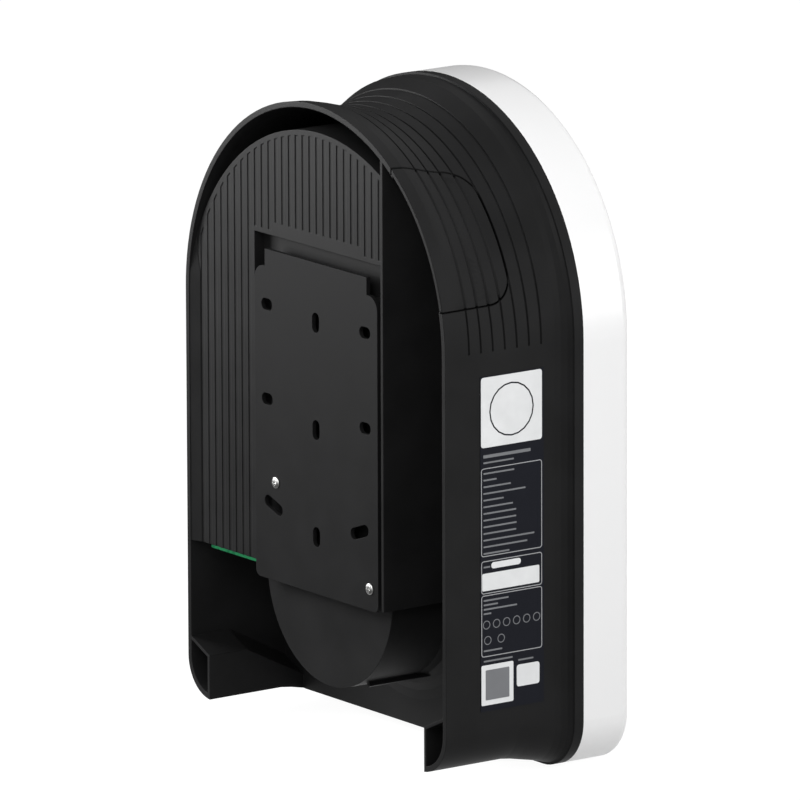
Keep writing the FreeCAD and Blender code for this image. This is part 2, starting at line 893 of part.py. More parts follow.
def rear_hollow():
    """All that is open at the back: the channel, the crescent and the space between the feet."""
    inside = saddle_skin("SkinInside", S.wall, inner_depths())
    gap = S.half_width - S.foot_width
    between = block("BetweenFeet", -gap, gap, Size.of(-2), S.bulkhead_depth,
                    -3 * S.flange_sink, S.foot_height)
    partition = block("Partition", -S.partition_face - S.partition_wall, -S.partition_face,
                      Size.of(0), S.bulkhead_depth + 1, S.partition_bottom,
                      S.spring_height + S.half_width)
    kept = [box_block(), partition, socket_boss(), boss_rib(), foot_web(1), foot_web(-1),
            door_ledge(), bulkhead()]
    return cut("RearHollow", join("RearOpen", [inside, between]), kept)


def bulkhead():
    """The cross wall between the open back and the sealed front."""
    reach = S.half_width * 2
    return block("Bulkhead", -reach, reach, S.bulkhead_depth, S.seam_depth, -reach, reach * 2)


def front_hollow():
    """The sealed space in front of the bulkhead, inside the box and inside the boss."""
    deep = S.bulkhead_depth + S.bulkhead_wall
    outline = arch(free_sketch("CavityOutline", deep), S.half_width - S.cavity_inset,
                   S.spring_height, S.cavity_inset - bottom_sink(S.bulkhead_depth),
                   S.foot_radius - S.cavity_inset)
    wide = extrude("WideCavity", outline, S.seam_depth - deep + 1)
    box_back = S.panel_depth + S.wall
    sketch = panel_arch(free_sketch("BoxCavityOutline", box_back), panel_radius() - S.wall,
                        S.wall - S.partition_face, S.half_width - 2 * S.wall,
                        S.panel_bottom + S.wall)
    box = extrude("BoxCavity", sketch, deep + 1 - box_back)
    floor = S.recess_depth + S.wall
    well = rod("BossCavity", Size.of(0), floor, deep + 1, S.socket_height,
               S.boss_radius - S.wall)
    behind = block("RecessWall", -S.recess_half - S.wall, S.recess_half + S.wall, Size.of(0),
                   floor, Size.of(0), S.recess_top + S.wall)
    kept = [behind] + cover_bosses() + board_posts()
    return cut("FrontHollow", join("FrontOpen", [wide, box, well]), kept)


def cover_screw_places():
    """Where the inner cover is screwed down: five on the arch and one low on each side."""
    reach = S.half_width - S.cover_boss_inset
    places = []
    for degrees in (0, 45, 90, 135, 180):
        across = math.cos(math.radians(degrees))
        up = math.sin(math.radians(degrees))
        places.append((reach * across, S.spring_height + reach * up))
    places.append((-reach, S.socket_height - S.socket_plate_half))
    places.append((reach, S.socket_height - S.socket_plate_half))
    return places


def cover_bosses():
    deep = S.bulkhead_depth + S.bulkhead_wall - 1
    return [
        rod(f"CoverBoss{index}", x, deep, S.seam_depth, z, S.cover_boss_radius)
        for index, (x, z) in enumerate(cover_screw_places())
    ]


def board_screw_places():
    low = S.board_bottom + S.board_inset
    high = S.board_top - S.board_inset
    left = S.board_inset - S.board_left
    right = S.board_right - S.board_inset
    return [(left, low), (right, low), (left, high), (right, high)]


def board_posts():
    """Posts from the back of the box that carry the power board."""
    start = S.panel_depth + S.wall - 1
    return [
        rod(f"BoardPost{index}", x, start, S.board_depth, z, S.post_radius)
        for index, (x, z) in enumerate(board_screw_places())
    ]


def bracket_screw_places():
    return [(S.bracket_screw_x, S.bracket_screw_high),
            (-S.bracket_screw_other_x, S.bracket_screw_low)]


def bracket_recess():
    """The pocket for the bracket, with the bosses and pads that it seats on left standing."""
    seat = S.bracket_setback + S.bracket_thick
    space = block("RecessSpace", -S.recess_half, S.recess_half, Size.of(-2), S.recess_depth,
                  S.panel_bottom - 20, S.recess_top)
    edge = S.bracket_width / 2 - S.seat_inset
    low = S.bracket_bottom + S.seat_low
    high = S.bracket_shoulder - S.seat_inset
    spots = bracket_screw_places() + [(edge, high), (-edge, high), (edge, low)]
    pads = [
        rod(f"BracketSeat{index}", x, seat, S.recess_depth + 1, z, S.seat_radius)
        for index, (x, z) in enumerate(spots)
    ]
    return cut("BracketRecess", space, pads)


def panel_ribs():
    """Upright grooves that leave a ribbed panel, with a plain band above the recess."""
    back = Size.of(0)
    reach = S.panel_depth + S.rib_cut
    sketch = panel_arch(free_sketch("RibZoneOutline", back), panel_radius() - S.rib_margin,
                        S.rib_edge - S.partition_face, S.half_width - S.wall - S.rib_edge,
                        S.panel_bottom - S.rib_overrun)
    zone = extrude("RibZone", sketch, reach)
    slots = []
    for index in range(int(S.rib_count.value)):
        centre = S.rib_pitch * index - S.rib_start
        slots.append(block(f"Rib{index}", centre - S.rib_width / 2, centre + S.rib_width / 2,
                           back, reach, S.panel_bottom - S.rib_overrun, panel_top()))
    beside = S.recess_half + S.rib_edge
    under = S.panel_bottom - 2 * S.rib_overrun
    low_band = block("LowBand", -beside, beside, back, reach, under,
                     S.recess_top + S.rib_low_band)
    high_band = block("HighBand", -S.rib_band_half, S.rib_band_half, back, reach, under,
                      S.recess_top + S.rib_high_band)
    kept = cut("RibField", zone, [low_band, high_band])
    return meet("PanelGrooves", join("RibSlots", slots), kept)


def wrap_grooves():
    """Grooves round the saddle that a wrapped cable lies against, down to the spring line."""
    reach = S.half_width + S.flange_growth + 5
    rings = []
    for index, (start, end) in enumerate(groove_edges()):
        floor = saddle_skin(f"GrooveFloor{index}", S.groove_cut, [start, end])
        band = block(f"GrooveBand{index}", -reach, reach, start, end, S.spring_height + 1,
                     S.spring_height + reach)
        rings.append(cut(f"WrapGroove{index}", band, floor))
    return join("WrapGrooves", rings)


def door_region(name, grow):
    """The part of the shoulder that the access cover takes, larger by a clearance."""
    reach = S.half_width + S.door_radius * 2
    top = S.spring_height + reach
    low = door_bottom() - grow
    depth = S.door_depth + grow
    behind = S.door_radius + 5
    side = side_sketch(name + "SideOutline", -reach)
    rounded_rectangle(side, -depth, behind, low, top, S.door_radius)
    slab = extrude(name + "Side", side, reach - door_side() + grow)
    plan = top_sketch(name + "PlanOutline", low - 1)
    rounded_rectangle(plan, -reach, grow - door_side(), -depth, behind, S.door_radius)
    column = extrude(name + "Plan", plan, top - door_bottom() + 2)
    return meet(name, slab, column)


def door_ledge():
    """A ledge under the shoulder's wall that the access cover's edges rest on."""
    near = saddle_skin("LedgeOutside", S.wall - 1, inner_depths())
    far = saddle_skin("LedgeInside", S.wall + S.door_ledge_wall, inner_depths())
    ring = cut("LedgeRing", door_region("LedgeOuterRegion", S.door_gap + 2),
               [door_region("LedgeInnerRegion", S.door_gap - S.door_ledge),
                block("LedgeTrim", -S.half_width - 10, Size.of(0), Size.of(-5), Size.of(1.5),
                      door_bottom() - 20, S.spring_height + S.half_width + 5)])
    return meet("DoorLedge", cut("LedgeSkin", near, far), ring)


def build_housing():
    screws = [
        rod(f"CoverBossHole{index}", x, S.seam_depth - S.screw_length, S.seam_depth + 1, z,
            S.screw_radius + S.thread_gap)
        for index, (x, z) in enumerate(cover_screw_places())
    ]
    screws += [
        rod(f"BoardPostHole{index}", x, S.board_depth - S.screw_length, S.board_depth + 1, z,
            S.screw_radius + S.thread_gap)
        for index, (x, z) in enumerate(board_screw_places())
    ]
    screws += [
        rod(f"BracketSeatHole{index}", x, Size.of(0), S.recess_depth + 1, z,
            S.screw_radius + S.thread_gap)
        for index, (x, z) in enumerate(bracket_screw_places())
    ]
    grommet = rod("GrommetHole", -grommet_x(), S.bulkhead_depth - 1,
                  S.bulkhead_depth + S.bulkhead_wall + 1, S.grommet_height, S.grommet_hole)
    seal = cut("SealGroove",
               extrude("SealGrooveOuter",
                       flange_outline(free_sketch("SealGrooveOuterOutline",
                                                  S.seam_depth - S.seal_groove_depth),
                                      S.seal_groove_inset),
                       S.seal_groove_depth + 1),
               extrude("SealGrooveInner",
                       flange_outline(free_sketch("SealGrooveInnerOutline",
                                                  S.seam_depth - S.seal_groove_depth - 1),
                                      S.seal_groove_inset + S.seal_width),
                       S.seal_groove_depth + 3))
    solid = cut("HousingShell", housing_outside(),
                [rear_hollow(), front_hollow(), bracket_recess()])
    detailed = cut("HousingGrooved", solid, [panel_ribs(), wrap_grooves()])
    return cut("Housing", detailed,
               [door_region("DoorOpening", S.door_gap), grommet, seal] + screws)


def build_door():
    """The side access cover: a piece of the same skin, with its stretch of the wrap grooves."""
    skin = cut("DoorSkin", saddle_skin("DoorOutside", 0, outer_depths()),
               saddle_skin("DoorInside", S.wall - S.door_gap, inner_depths()))
    piece = meet("DoorPiece", skin, door_region("DoorShape", Size.of(0)))
    return cut("SideAccessCover", piece,
               [behind_wall("BehindDoor"), doc.getObject("WrapGrooves")])


# Wall bracket, label and strip

def build_bracket():
    body = new_body("WallBracket")
    sketch = body_sketch(body, "BracketOutline", "XZ_Plane", S.bracket_setback)
    half = S.bracket_width / 2
    tab = S.bracket_tab_width / 2
    top = S.bracket_shoulder + S.bracket_tab_height
    polygon(sketch, [(-half, S.bracket_bottom), (half, S.bracket_bottom),
                     (half, S.bracket_shoulder), (tab, S.bracket_shoulder), (tab, top),
                     (-tab, top), (-tab, S.bracket_shoulder), (-half, S.bracket_shoulder)])
    plate = pad(body, "BracketPlate", sketch, S.bracket_thick)
    width = half.value
    level = S.bracket_shoulder.value
    low = S.bracket_bottom.value

    def corner(edge, height):
        box = edge.BoundBox
        upright = box.ZMax - box.ZMin < 1e-4 and box.XMax - box.XMin < 1e-4
        return upright and abs(abs(box.XMax) - width) < 1e-4 and abs(box.ZMax - height) < 1e-4

    shoulders = round_edges(body, "BracketShoulders", plate, S.bracket_corner,
                            lambda edge: corner(edge, level))
    round_edges(body, "BracketFoot", shoulders, S.bracket_foot_corner,
                lambda edge: corner(edge, low))
    holes = body_sketch(body, "BracketSlots", "XZ_Plane", S.bracket_setback)
    for row in range(2):
        for side in (-1, 1):
            obround(holes, S.side_slot_half * side, S.side_slot_low + S.side_slot_rise * row,
                    S.side_slot_length, S.slot_width)
    for row in range(3):
        obround(holes, Size.of(0), S.centre_slot_low + S.centre_slot_pitch * row,
                S.centre_slot_length, S.slot_width, 90)
    for side in (-1, 1):
        obround(holes, S.tilt_slot_half * side, S.tilt_slot_height, S.tilt_slot_length,
                S.slot_width, S.tilt_slot_angle * side)
    for x, z in bracket_screw_places():
        disc(holes, x, z, S.screw_radius + 0.4)
    pocket(body, "BracketSlotCut", holes, S.bracket_thick + 1, forward=True)
    return body


def build_bracket_screws():
    """Two screws with low domed heads, driven from behind."""
    length = S.recess_depth + S.low_head_height - S.bracket_setback
    profile = [(0, S.low_head_height), (S.low_head_crown, S.low_head_height),
               (S.low_head_radius, S.low_head_height / 2), (S.low_head_radius, 0),
               (S.screw_radius, 0), (S.screw_radius, -length), (0, -length)]
    return group("BracketScrews", [
        turned(f"BracketScrew{index}", profile, x, S.bracket_setback, z)
        for index, (x, z) in enumerate(bracket_screw_places())
    ])


def build_label():
    face = -S.half_width
    return block("RatingLabel", face - S.label_thick, face, S.label_depth,
                 S.label_depth + S.label_width, S.label_bottom,
                 S.label_bottom + S.label_height)


def build_strip():
    start = S.bracket_width / 2 + S.strip_gap
    return block("EdgeBoard", start, S.half_width - S.strip_margin, S.panel_depth,
                 S.panel_depth + S.strip_reach, S.panel_bottom - S.strip_thick,
                 S.panel_bottom)


# Front closing: seal, inner cover, front cover

def build_seal():
    body = new_body("InnerCoverSeal")
    ring = body_sketch(body, "SealOutline", "XZ_Plane", S.seam_depth - S.seal_groove_depth)
    flange_outline(ring, S.seal_groove_inset + 0.1)
    flange_outline(ring, S.seal_groove_inset + S.seal_width - 0.1)
    pad(body, "SealRing", ring, S.seal_groove_depth)
    return body


def build_inner_cover():
    """The lid of the sealed space; it carries the light board and passes the socket."""
    body = new_body("InnerCover")
    sketch = body_sketch(body, "InnerCoverOutline", "XZ_Plane", S.seam_depth)
    flange_outline(sketch, S.cover_wall + S.inner_cover_gap)
    pad(body, "InnerCoverPlate", sketch, S.inner_cover_wall)
    holes = body_sketch(body, "InnerCoverHoles", "XZ_Plane", S.seam_depth)
    disc(holes, 0, S.socket_height, S.socket_radius + S.inner_cover_gap)
    for x, z in cover_screw_places():
        disc(holes, x, z, S.screw_radius + 0.4)
    pocket(body, "InnerCoverCut", holes, S.inner_cover_wall + 1, forward=True)
    stand = body_sketch(body, "InnerCoverStands", "XZ_Plane",
                        S.seam_depth + S.inner_cover_wall)
    for x, z in stand_places():
        disc(stand, x, z, S.post_radius)
    pad(body, "InnerCoverPosts", stand, S.light_board_stand)
    drill = body_sketch(body, "InnerCoverPostHoles", "XZ_Plane", S.seam_depth)
    for x, z in stand_places():
        disc(drill, x, z, S.screw_radius + S.thread_gap)
    for x, z in socket_screw_places():
        disc(drill, x, z, S.screw_radius + S.thread_gap)
    pocket(body, "InnerCoverPostBore", drill,
           S.inner_cover_wall + S.light_board_stand + 1, forward=True)
    lugs = body_sketch(body, "InnerCoverLugs", "XZ_Plane", S.seam_depth)
    floor = S.cover_wall + S.inner_cover_gap - S.flange_sink
    for side in (-1, 1):
        centre = cover_screw_x() * side
        half = S.cover_lug_width / 2
        rectangle(lugs, centre - half, centre + half, floor, floor + S.screw_length)
    pad(body, "InnerCoverLugPad", lugs, S.cover_lug_length)
    bore = body_sketch(body, "InnerCoverLugBores", "XY_Plane", -S.flange_sink)
    for side in (-1, 1):
        disc(bore, cover_screw_x() * side, -lug_depth(), S.screw_radius + S.thread_gap)
    pocket(body, "InnerCoverLugBoreCut", bore, S.screw_length, forward=True)
    return body


def light_centre():
    return S.socket_height + S.light_rise


def reader_centre():
    return S.socket_height + S.reader_rise


def stand_places():
    """Posts of the inner cover: the light board's two ends and the reader board's corners."""
    across = S.light_board_width / 2 - S.board_inset
    half = S.reader_size / 2 - S.board_inset
    places = [(across * side, light_centre()) for side in (-1, 1)]
    for side in (-1, 1):
        places.append((half * side, reader_centre() - half * side))
    return places


def cover_screw_x():
    return S.half_width * 0.5


def build_front_cover():
    """The white front shell, open towards the wall, with its window and socket opening."""
    body = new_body("FrontCover")
    sketch = body_sketch(body, "FrontCoverOutline", "XZ_Plane", S.seam_depth)
    flange_outline(sketch, 0)
    shell = pad(body, "FrontCoverBlock", sketch, S.front_depth - S.seam_depth)
    front = S.front_depth.value
    round_edges(body, "FrontCoverEdge", shell, S.cover_edge_radius,
                lambda edge: at_depth(front, edge))
    inside = body_sketch(body, "FrontCoverInside", "XZ_Plane", S.seam_depth)
    flange_outline(inside, S.cover_wall)
    pocket(body, "FrontCoverHollow", inside, S.front_depth - S.seam_depth - S.cover_wall,
           forward=True)
    inner_face = S.front_depth - S.cover_wall - 1
    mouth = body_sketch(body, "SocketMouth", "XZ_Plane", inner_face)
    disc(mouth, 0, S.socket_height, S.flap_radius + S.flap_gap)
    pocket(body, "SocketMouthCut", mouth, S.cover_wall + 2, forward=True)
    hinge = body_sketch(body, "HingeWindow", "XZ_Plane", inner_face)
    reach = S.hinge_half + S.hinge_lug + 2 * S.flap_gap
    rectangle(hinge, -reach, reach, S.socket_height,
              S.socket_height + S.hinge_height + S.hinge_radius + S.flap_gap)
    pocket(body, "HingeWindowCut", hinge, S.cover_wall + 2, forward=True)
    light = body_sketch(body, "LightWindow", "XZ_Plane", inner_face)
    obround(light, 0, light_centre(), S.light_width, S.light_height)
    pocket(body, "LightWindowCut", light, S.cover_wall + 2, forward=True)
    bore = body_sketch(body, "CoverScrewHoles", "XY_Plane", -S.flange_sink - 1)
    sunk = body_sketch(body, "CoverScrewSeats", "XY_Plane", -S.flange_sink - 1)
    for side in (-1, 1):
        disc(bore, cover_screw_x() * side, -lug_depth(), S.screw_radius + S.head_gap)
        disc(sunk, cover_screw_x() * side, -lug_depth(), S.screw_head_radius + S.head_gap)
    pocket(body, "CoverScrewHoleCut", bore, S.cover_wall + 2, forward=True)
    pocket(body, "CoverScrewSeatCut", sunk, S.sunk_head_height + 1, forward=True)
    return body


def lug_depth():
    """Depth of the screws that hold the front cover to the inner cover's lugs."""
    return S.seam_depth + S.cover_lug_length - S.cover_lug_width / 2


def build_front_cover_screws():
    """Two screws up through the cover's bottom edge."""
    upside = Rotation(Vector(1, 0, 0), -90)
    return group("FrontCoverScrews", [
        screw(f"FrontCoverScrew{side + 1}", cover_screw_x() * side, lug_depth(),
              S.sunk_head_height - S.flange_sink, upside, height=S.sunk_head_height,
              length=S.screw_length - S.sunk_head_height - 1)
        for side in (-1, 1)
    ])


def forward_screws(name, places, depth, length):
    """Screws driven from the front: heads at a depth and shanks back towards the wall."""
    about = Rotation(Vector(1, 0, 0), 180)
    return group(name, [
        screw(f"{name}{index}", x, depth, z, about, length=length)
        for index, (x, z) in enumerate(places)
    ])


def build_inner_cover_screws():
    return forward_screws("InnerCoverScrews", cover_screw_places(),
                          S.seam_depth + S.inner_cover_wall, S.screw_length - 1)


# Socket outlet

def chopped_disc(sketch, radius, flat):
    """A circle with its top cut off level, centred on the socket."""
    radius, flat = Size.of(radius), Size.of(flat)
    centre = S.socket_height
    half = math.sqrt(radius.value ** 2 - flat.value ** 2)
    start = math.atan2(flat.value, -half)
    end = math.atan2(flat.value, half) + 2 * math.pi
    first = sketch.GeometryCount
    ring = Part.Circle(Vector(0, centre.value, 0), Vector(0, 0, 1), radius.value)
    level = centre.value + flat.value
    sketch.addGeometry(Part.ArcOfCircle(ring, start, end))
    sketch.addGeometry(Part.LineSegment(Vector(half, level, 0), Vector(-half, level, 0)))
    sketch.addConstraint(Sketcher.Constraint("Coincident", first, 2, first + 1, 1))
    sketch.addConstraint(Sketcher.Constraint("Coincident", first + 1, 2, first, 1))
    sketch.addConstraint(Sketcher.Constraint("Horizontal", first + 1))
    sketch.addConstraint(Sketcher.Constraint("PointOnObject", first, 3, -2))
    dimension(sketch, "Radius", first, size=radius)
    dimension(sketch, "DistanceY", -1, 1, first, 3, size=centre)
    dimension(sketch, "DistanceY", -1, 1, first + 1, 1, size=centre + flat)
    return sketch


def power_pin_places():
    row = S.socket_height - S.pin_row_drop
    low = S.socket_height - S.lower_pin_drop
    across = S.outer_pin_x
    return [(Size.of(0), row), (across, row), (-across, row), (S.lower_pin_x, low),
            (-S.lower_pin_x, low)]


def signal_pin_places():
    high = S.socket_height + S.signal_pin_rise
    return [(S.signal_pin_x, high), (-S.signal_pin_x, high)]


def flap_back():
    """Depth of the flap's inner face."""
    return S.front_depth - S.flap_thick


def socket_face():
    """Depth of the socket's rim, just behind the closed flap."""
    return flap_back() - S.hinge_play


def hinge_axis_depth():
    return S.front_depth - S.hinge_radius


def hinge_axis_height():
    return S.socket_height + S.hinge_height


def socket_rear():
    """Depth of the socket barrel's rear end."""
    return well_floor() - S.socket_back


def well_floor():
    """Depth of the bottom of the well, just behind the lock pin."""
    return lock_depth() - S.lock_pin_radius * 2 - 1


def build_socket():
    """The socket body: barrel with its well, fixing plate and the hinge's two lugs."""
    body = new_body("SocketHousing")
    barrel = body_sketch(body, "SocketBarrel", "XZ_Plane", socket_rear())
    disc(barrel, 0, S.socket_height, S.socket_radius)
    pad(body, "SocketBarrelPad", barrel, socket_face() - socket_rear())
    plate_back = S.seam_depth + S.inner_cover_wall
    plate = body_sketch(body, "SocketPlate", "XZ_Plane", plate_back)
    half = S.socket_plate_half
    rectangle(plate, -half, half, S.socket_height - half, S.socket_height + half)
    pad(body, "SocketPlatePad", plate, S.socket_plate_thick)
    lug = body_sketch(body, "HingeLugs", "XZ_Plane", plate_back)
    tip = body_sketch(body, "HingeLugTips", "XZ_Plane", plate_back)
    for side in (-1, 1):
        near = (S.hinge_half + S.hinge_play) * side
        far = (S.hinge_half + S.hinge_play + S.hinge_lug) * side
        high = hinge_axis_height() + S.hinge_radius
        rectangle(lug, near, far, S.socket_height + S.socket_radius - S.hinge_lug, high)
        rectangle(tip, near, far, S.socket_height + S.flap_radius + S.flap_gap, high)
    pad(body, "HingeLugPad", lug, socket_face() - plate_back)
    pad(body, "HingeLugTipPad", tip, S.front_depth - plate_back)
    well = body_sketch(body, "SocketWell", "XZ_Plane", socket_face())
    chopped_disc(well, S.well_radius, S.well_flat)
    pocket(body, "SocketWellCut", well, socket_face() - well_floor())
    seat = body_sketch(body, "CarrierSeat", "XZ_Plane", well_floor())
    chopped_disc(seat, S.insert_radius + S.carrier_fit, S.insert_flat + S.carrier_fit)
    pocket(body, "CarrierSeatCut", seat, S.socket_back + 1)
    screws = body_sketch(body, "SocketScrewHoles", "XZ_Plane", plate_back)
    for x, z in socket_screw_places():
        disc(screws, x, z, S.screw_radius + 0.4)
    pocket(body, "SocketScrewHoleCut", screws, S.socket_plate_thick + 1, forward=True)
    pin = body_sketch(body, "HingePinHole", "YZ_Plane", -S.socket_plate_half)
    disc(pin, -hinge_axis_depth(), hinge_axis_height(), S.hinge_pin_radius + S.hinge_fit)
    pocket(body, "HingePinHoleCut", pin, S.socket_plate_half * 2, forward=True)
    lock = body_sketch(body, "LockHole", "XY_Plane", S.socket_height + S.insert_flat + 1)
    disc(lock, 0, -lock_depth(), S.lock_pin_radius + S.lock_fit)
    pocket(body, "LockHoleCut", lock, S.socket_radius, forward=True)
    return body


def build_carrier():
    """The block that holds the contacts, let into the back of the socket's well."""
    body = new_body("ContactCarrier")
    outline = body_sketch(body, "CarrierOutline", "XZ_Plane", socket_rear())
    chopped_disc(outline, S.insert_radius, S.insert_flat)
    front = socket_face() - S.insert_setback
    pad(body, "CarrierPad", outline, front - socket_rear())
    holes = body_sketch(body, "ContactHoles", "XZ_Plane", front)
    for x, z in power_pin_places():
        disc(holes, x, z, S.power_pin_radius + S.pin_fit)
    for x, z in signal_pin_places():
        disc(holes, x, z, S.signal_pin_radius + S.pin_fit)
    pocket(body, "ContactHoleCut", holes, front - socket_rear() + 1)
    return body


def lock_depth():
    """Depth of the lock pin: its case ends just behind the inner cover."""
    return S.seam_depth - S.lock_gap - S.lock_front


def socket_screw_places():
    spot = S.socket_plate_half - S.screw_head_radius - 1
    return [
        (spot * across, S.socket_height + spot * up)
        for across in (-1, 1) for up in (-1, 1)
    ]


def build_socket_screws():
    return forward_screws("SocketScrews", socket_screw_places(),
                          S.seam_depth + S.inner_cover_wall + S.socket_plate_thick,
                          S.socket_plate_thick + S.inner_cover_wall)


def sleeves(name, places, radius, bore):
    """Contact sleeves: tubes closed at the back with a solder tail."""
    front = socket_face() - S.insert_setback - 1
    pieces = []
    for index, (x, z) in enumerate(places):
        profile = [(bore, 0), (radius, 0), (radius, S.pin_length), (0, S.pin_length),
                   (0, S.pin_length - S.pin_tail), (bore, S.pin_length - S.pin_tail)]
        pieces.append(turned(f"{name}{index}", profile, x, front, z))
    return group(name, pieces)


def build_flap():
    """The socket's lid, with its barrel round the hinge pin and a plug ring inside."""
    body = new_body("SocketFlap")
    outline = body_sketch(body, "FlapOutline", "XZ_Plane", flap_back())
    disc(outline, 0, S.socket_height, S.flap_radius)
    pad(body, "FlapDisc", outline, S.flap_thick)
    neck = body_sketch(body, "FlapNeck", "XZ_Plane", flap_back())
    rectangle(neck, -S.hinge_half, S.hinge_half, S.socket_height + S.flap_radius / 2,
              hinge_axis_height())
    pad(body, "FlapNeckPad", neck, S.flap_thick)
    barrel = body_sketch(body, "FlapBarrel", "YZ_Plane", -S.hinge_half)
    disc(barrel, -hinge_axis_depth(), hinge_axis_height(), S.hinge_radius)
    pad(body, "FlapBarrelPad", barrel, S.hinge_half * 2)
    space = body_sketch(body, "FlapSpringSpace", "XZ_Plane", flap_back() - 5)
    rectangle(space, -S.spring_space / 2, S.spring_space / 2,
              hinge_axis_height() - S.hinge_radius - 1, hinge_axis_height() + 5)
    pocket(body, "FlapSpringSpaceCut", space, S.flap_thick + 10, forward=True)
    bore = body_sketch(body, "FlapBore", "YZ_Plane", -S.hinge_half - 1)
    disc(bore, -hinge_axis_depth(), hinge_axis_height(), S.hinge_pin_radius + S.hinge_fit)
    pocket(body, "FlapBoreCut", bore, S.hinge_half * 2 + 2, forward=True)
    ring = body_sketch(body, "FlapPlugRing", "XZ_Plane", flap_back() - 2)
    disc(ring, 0, S.socket_height - 3, S.insert_radius - 2)
    disc(ring, 0, S.socket_height - 3, S.insert_radius - 4)
    pad(body, "FlapPlugRingPad", ring, Size.of(2.5))
    return body


def build_hinge_pin():
    reach = S.hinge_half + S.hinge_play + S.hinge_lug
    profile = [(0, -reach), (S.hinge_pin_radius, -reach), (S.hinge_pin_radius, reach),
               (0, reach)]
    return turned("FlapHingePin", profile, 0, hinge_axis_depth(), hinge_axis_height(),
                  POINTING_RIGHT)


def build_flap_spring():
    """The close-wound closing spring round the hinge pin, as one sleeve."""
    half = (S.spring_space - S.hinge_play) / 2
    bore = S.hinge_pin_radius + S.hinge_fit
    outside = bore + 2 * S.spring_wire
    profile = [(bore, -half), (outside, -half), (outside, half), (bore, half)]
    return turned("FlapSpring", profile, 0, hinge_axis_depth(), hinge_axis_height(),
                  POINTING_RIGHT)


def build_lock_actuator():
    """The motor box on top of the socket that drives the lock pin."""
    top = S.socket_height + S.socket_radius
    base = top + 0.3
    centre = lock_depth()
    front = centre + S.lock_front
    case = block("LockCase", -S.lock_width / 2, S.lock_width / 2, front - S.lock_length,
                 front, base, base + S.lock_height)
    bore = post("LockBore", 0, centre, base - 1, base + S.lock_pin_length,
                S.lock_pin_radius + S.lock_fit)
    return cut("LockActuator", case, bore)


def build_lock_pin():
    start = S.socket_height + S.well_flat + 1
    return post("LockPin", 0, lock_depth(), start, start + S.lock_pin_length,
                S.lock_pin_radius)


# Boards and what they carry

def build_power_board():
    body = new_body("PowerBoard")
    sketch = body_sketch(body, "PowerBoardOutline", "XZ_Plane", S.board_depth)
    rectangle(sketch, -S.board_left, S.board_right, S.board_bottom, S.board_top)
    pad(body, "PowerBoardPlate", sketch, S.board_thick)
    holes = body_sketch(body, "PowerBoardHoles", "XZ_Plane", S.board_depth)
    for x, z in board_screw_places():
        disc(holes, x, z, S.screw_radius + 0.2)
    pocket(body, "PowerBoardDrill", holes, S.board_thick + 1, forward=True)
    return body


def board_face():
    return S.board_depth + S.board_thick


def contactor_right():
    return S.board_right - 2 * S.board_inset - S.post_radius


def build_contactor():
    """The switching contactor: a stepped block with its row of terminals proud at both ends."""
    right = contactor_right()
    left = right - S.contactor_width
    low = S.board_bottom + 2 * S.board_inset
    high = low + S.contactor_height
    face = board_face()
    base = block("ContactorBase", left, right, face, face + S.contactor_depth * 0.6, low, high)
    tower = block("ContactorTower", left, right, face, face + S.contactor_depth,
                  low + S.contactor_step, high - S.contactor_step)
    return join("Contactor", [base, tower])


def terminal_left():
    return S.board_inset * 2 + S.post_radius - S.board_left


def build_terminals():
    """The supply terminal block with one open chamber for each wire."""
    left = terminal_left()
    high = S.board_top - S.board_inset * 2
    low = high - S.terminal_height
    face = board_face()
    case = block("TerminalCase", left, left + S.terminal_width, face, face + S.terminal_depth,
                 low, high)
    holes = []
    for index in range(int(S.terminal_count.value)):
        centre = left + (S.terminal_pitch * (index + 0.5)) + 2
        holes.append(rod(f"TerminalWell{index}", centre, face + S.terminal_depth / 2,
                         face + S.terminal_depth + 1, high - S.terminal_height / 2,
                         S.screw_head_radius + 0.3))
    return cut("TerminalBlock", case, holes)


def build_terminal_screws():
    high = S.board_top - S.board_inset * 2
    floor = board_face() + S.terminal_depth / 2
    screws = []
    for index in range(int(S.terminal_count.value)):
        centre = terminal_left() + (S.terminal_pitch * (index + 0.5)) + 2
        screws.append(rod(f"TerminalScrew{index}", centre, floor, floor + 4,
                          high - S.terminal_height / 2, S.screw_head_radius))
    return group("TerminalScrews", screws)


def build_sensor():
    """The ring-shaped current sensor that the load wires pass through."""
    x = terminal_left() + S.sensor_radius
    z = S.board_bottom + S.board_inset * 2 + S.sensor_radius
    face = board_face()
    ring = rod("SensorRing", x, face, face + S.sensor_depth, z, S.sensor_radius)
    hole = rod("SensorHole", x, face - 1, face + S.sensor_depth + 1, z, S.sensor_bore)
    return cut("CurrentSensor", ring, hole)


def small_board(name, width, height, centre, places):
    """A board on the inner cover's posts, with a hole over each post."""
    depth = S.seam_depth + S.inner_cover_wall + S.light_board_stand
    body = new_body(name)
    sketch = body_sketch(body, name + "Outline", "XZ_Plane", depth)
    rectangle(sketch, -width / 2, width / 2, centre - height / 2, centre + height / 2)
    pad(body, name + "Plate", sketch, S.board_thick)
    holes = body_sketch(body, name + "Holes", "XZ_Plane", depth)
    for x, z in places:
        disc(holes, x, z, S.screw_radius + 0.2)
    pocket(body, name + "Drill", holes, S.board_thick + 1, forward=True)
    return body


def build_light_guide():
    """The clear bar behind the light window, from the light board to the window's face."""
    back = (S.seam_depth + S.inner_cover_wall + S.light_board_stand + S.board_thick)
    body = new_body("LightGuide")
    sketch = body_sketch(body, "LightGuideOutline", "XZ_Plane", back)
    obround(sketch, 0, light_centre(), S.light_width - 0.3, S.light_height - 0.3)
    pad(body, "LightGuideBar", sketch, S.front_depth - back)
    return body


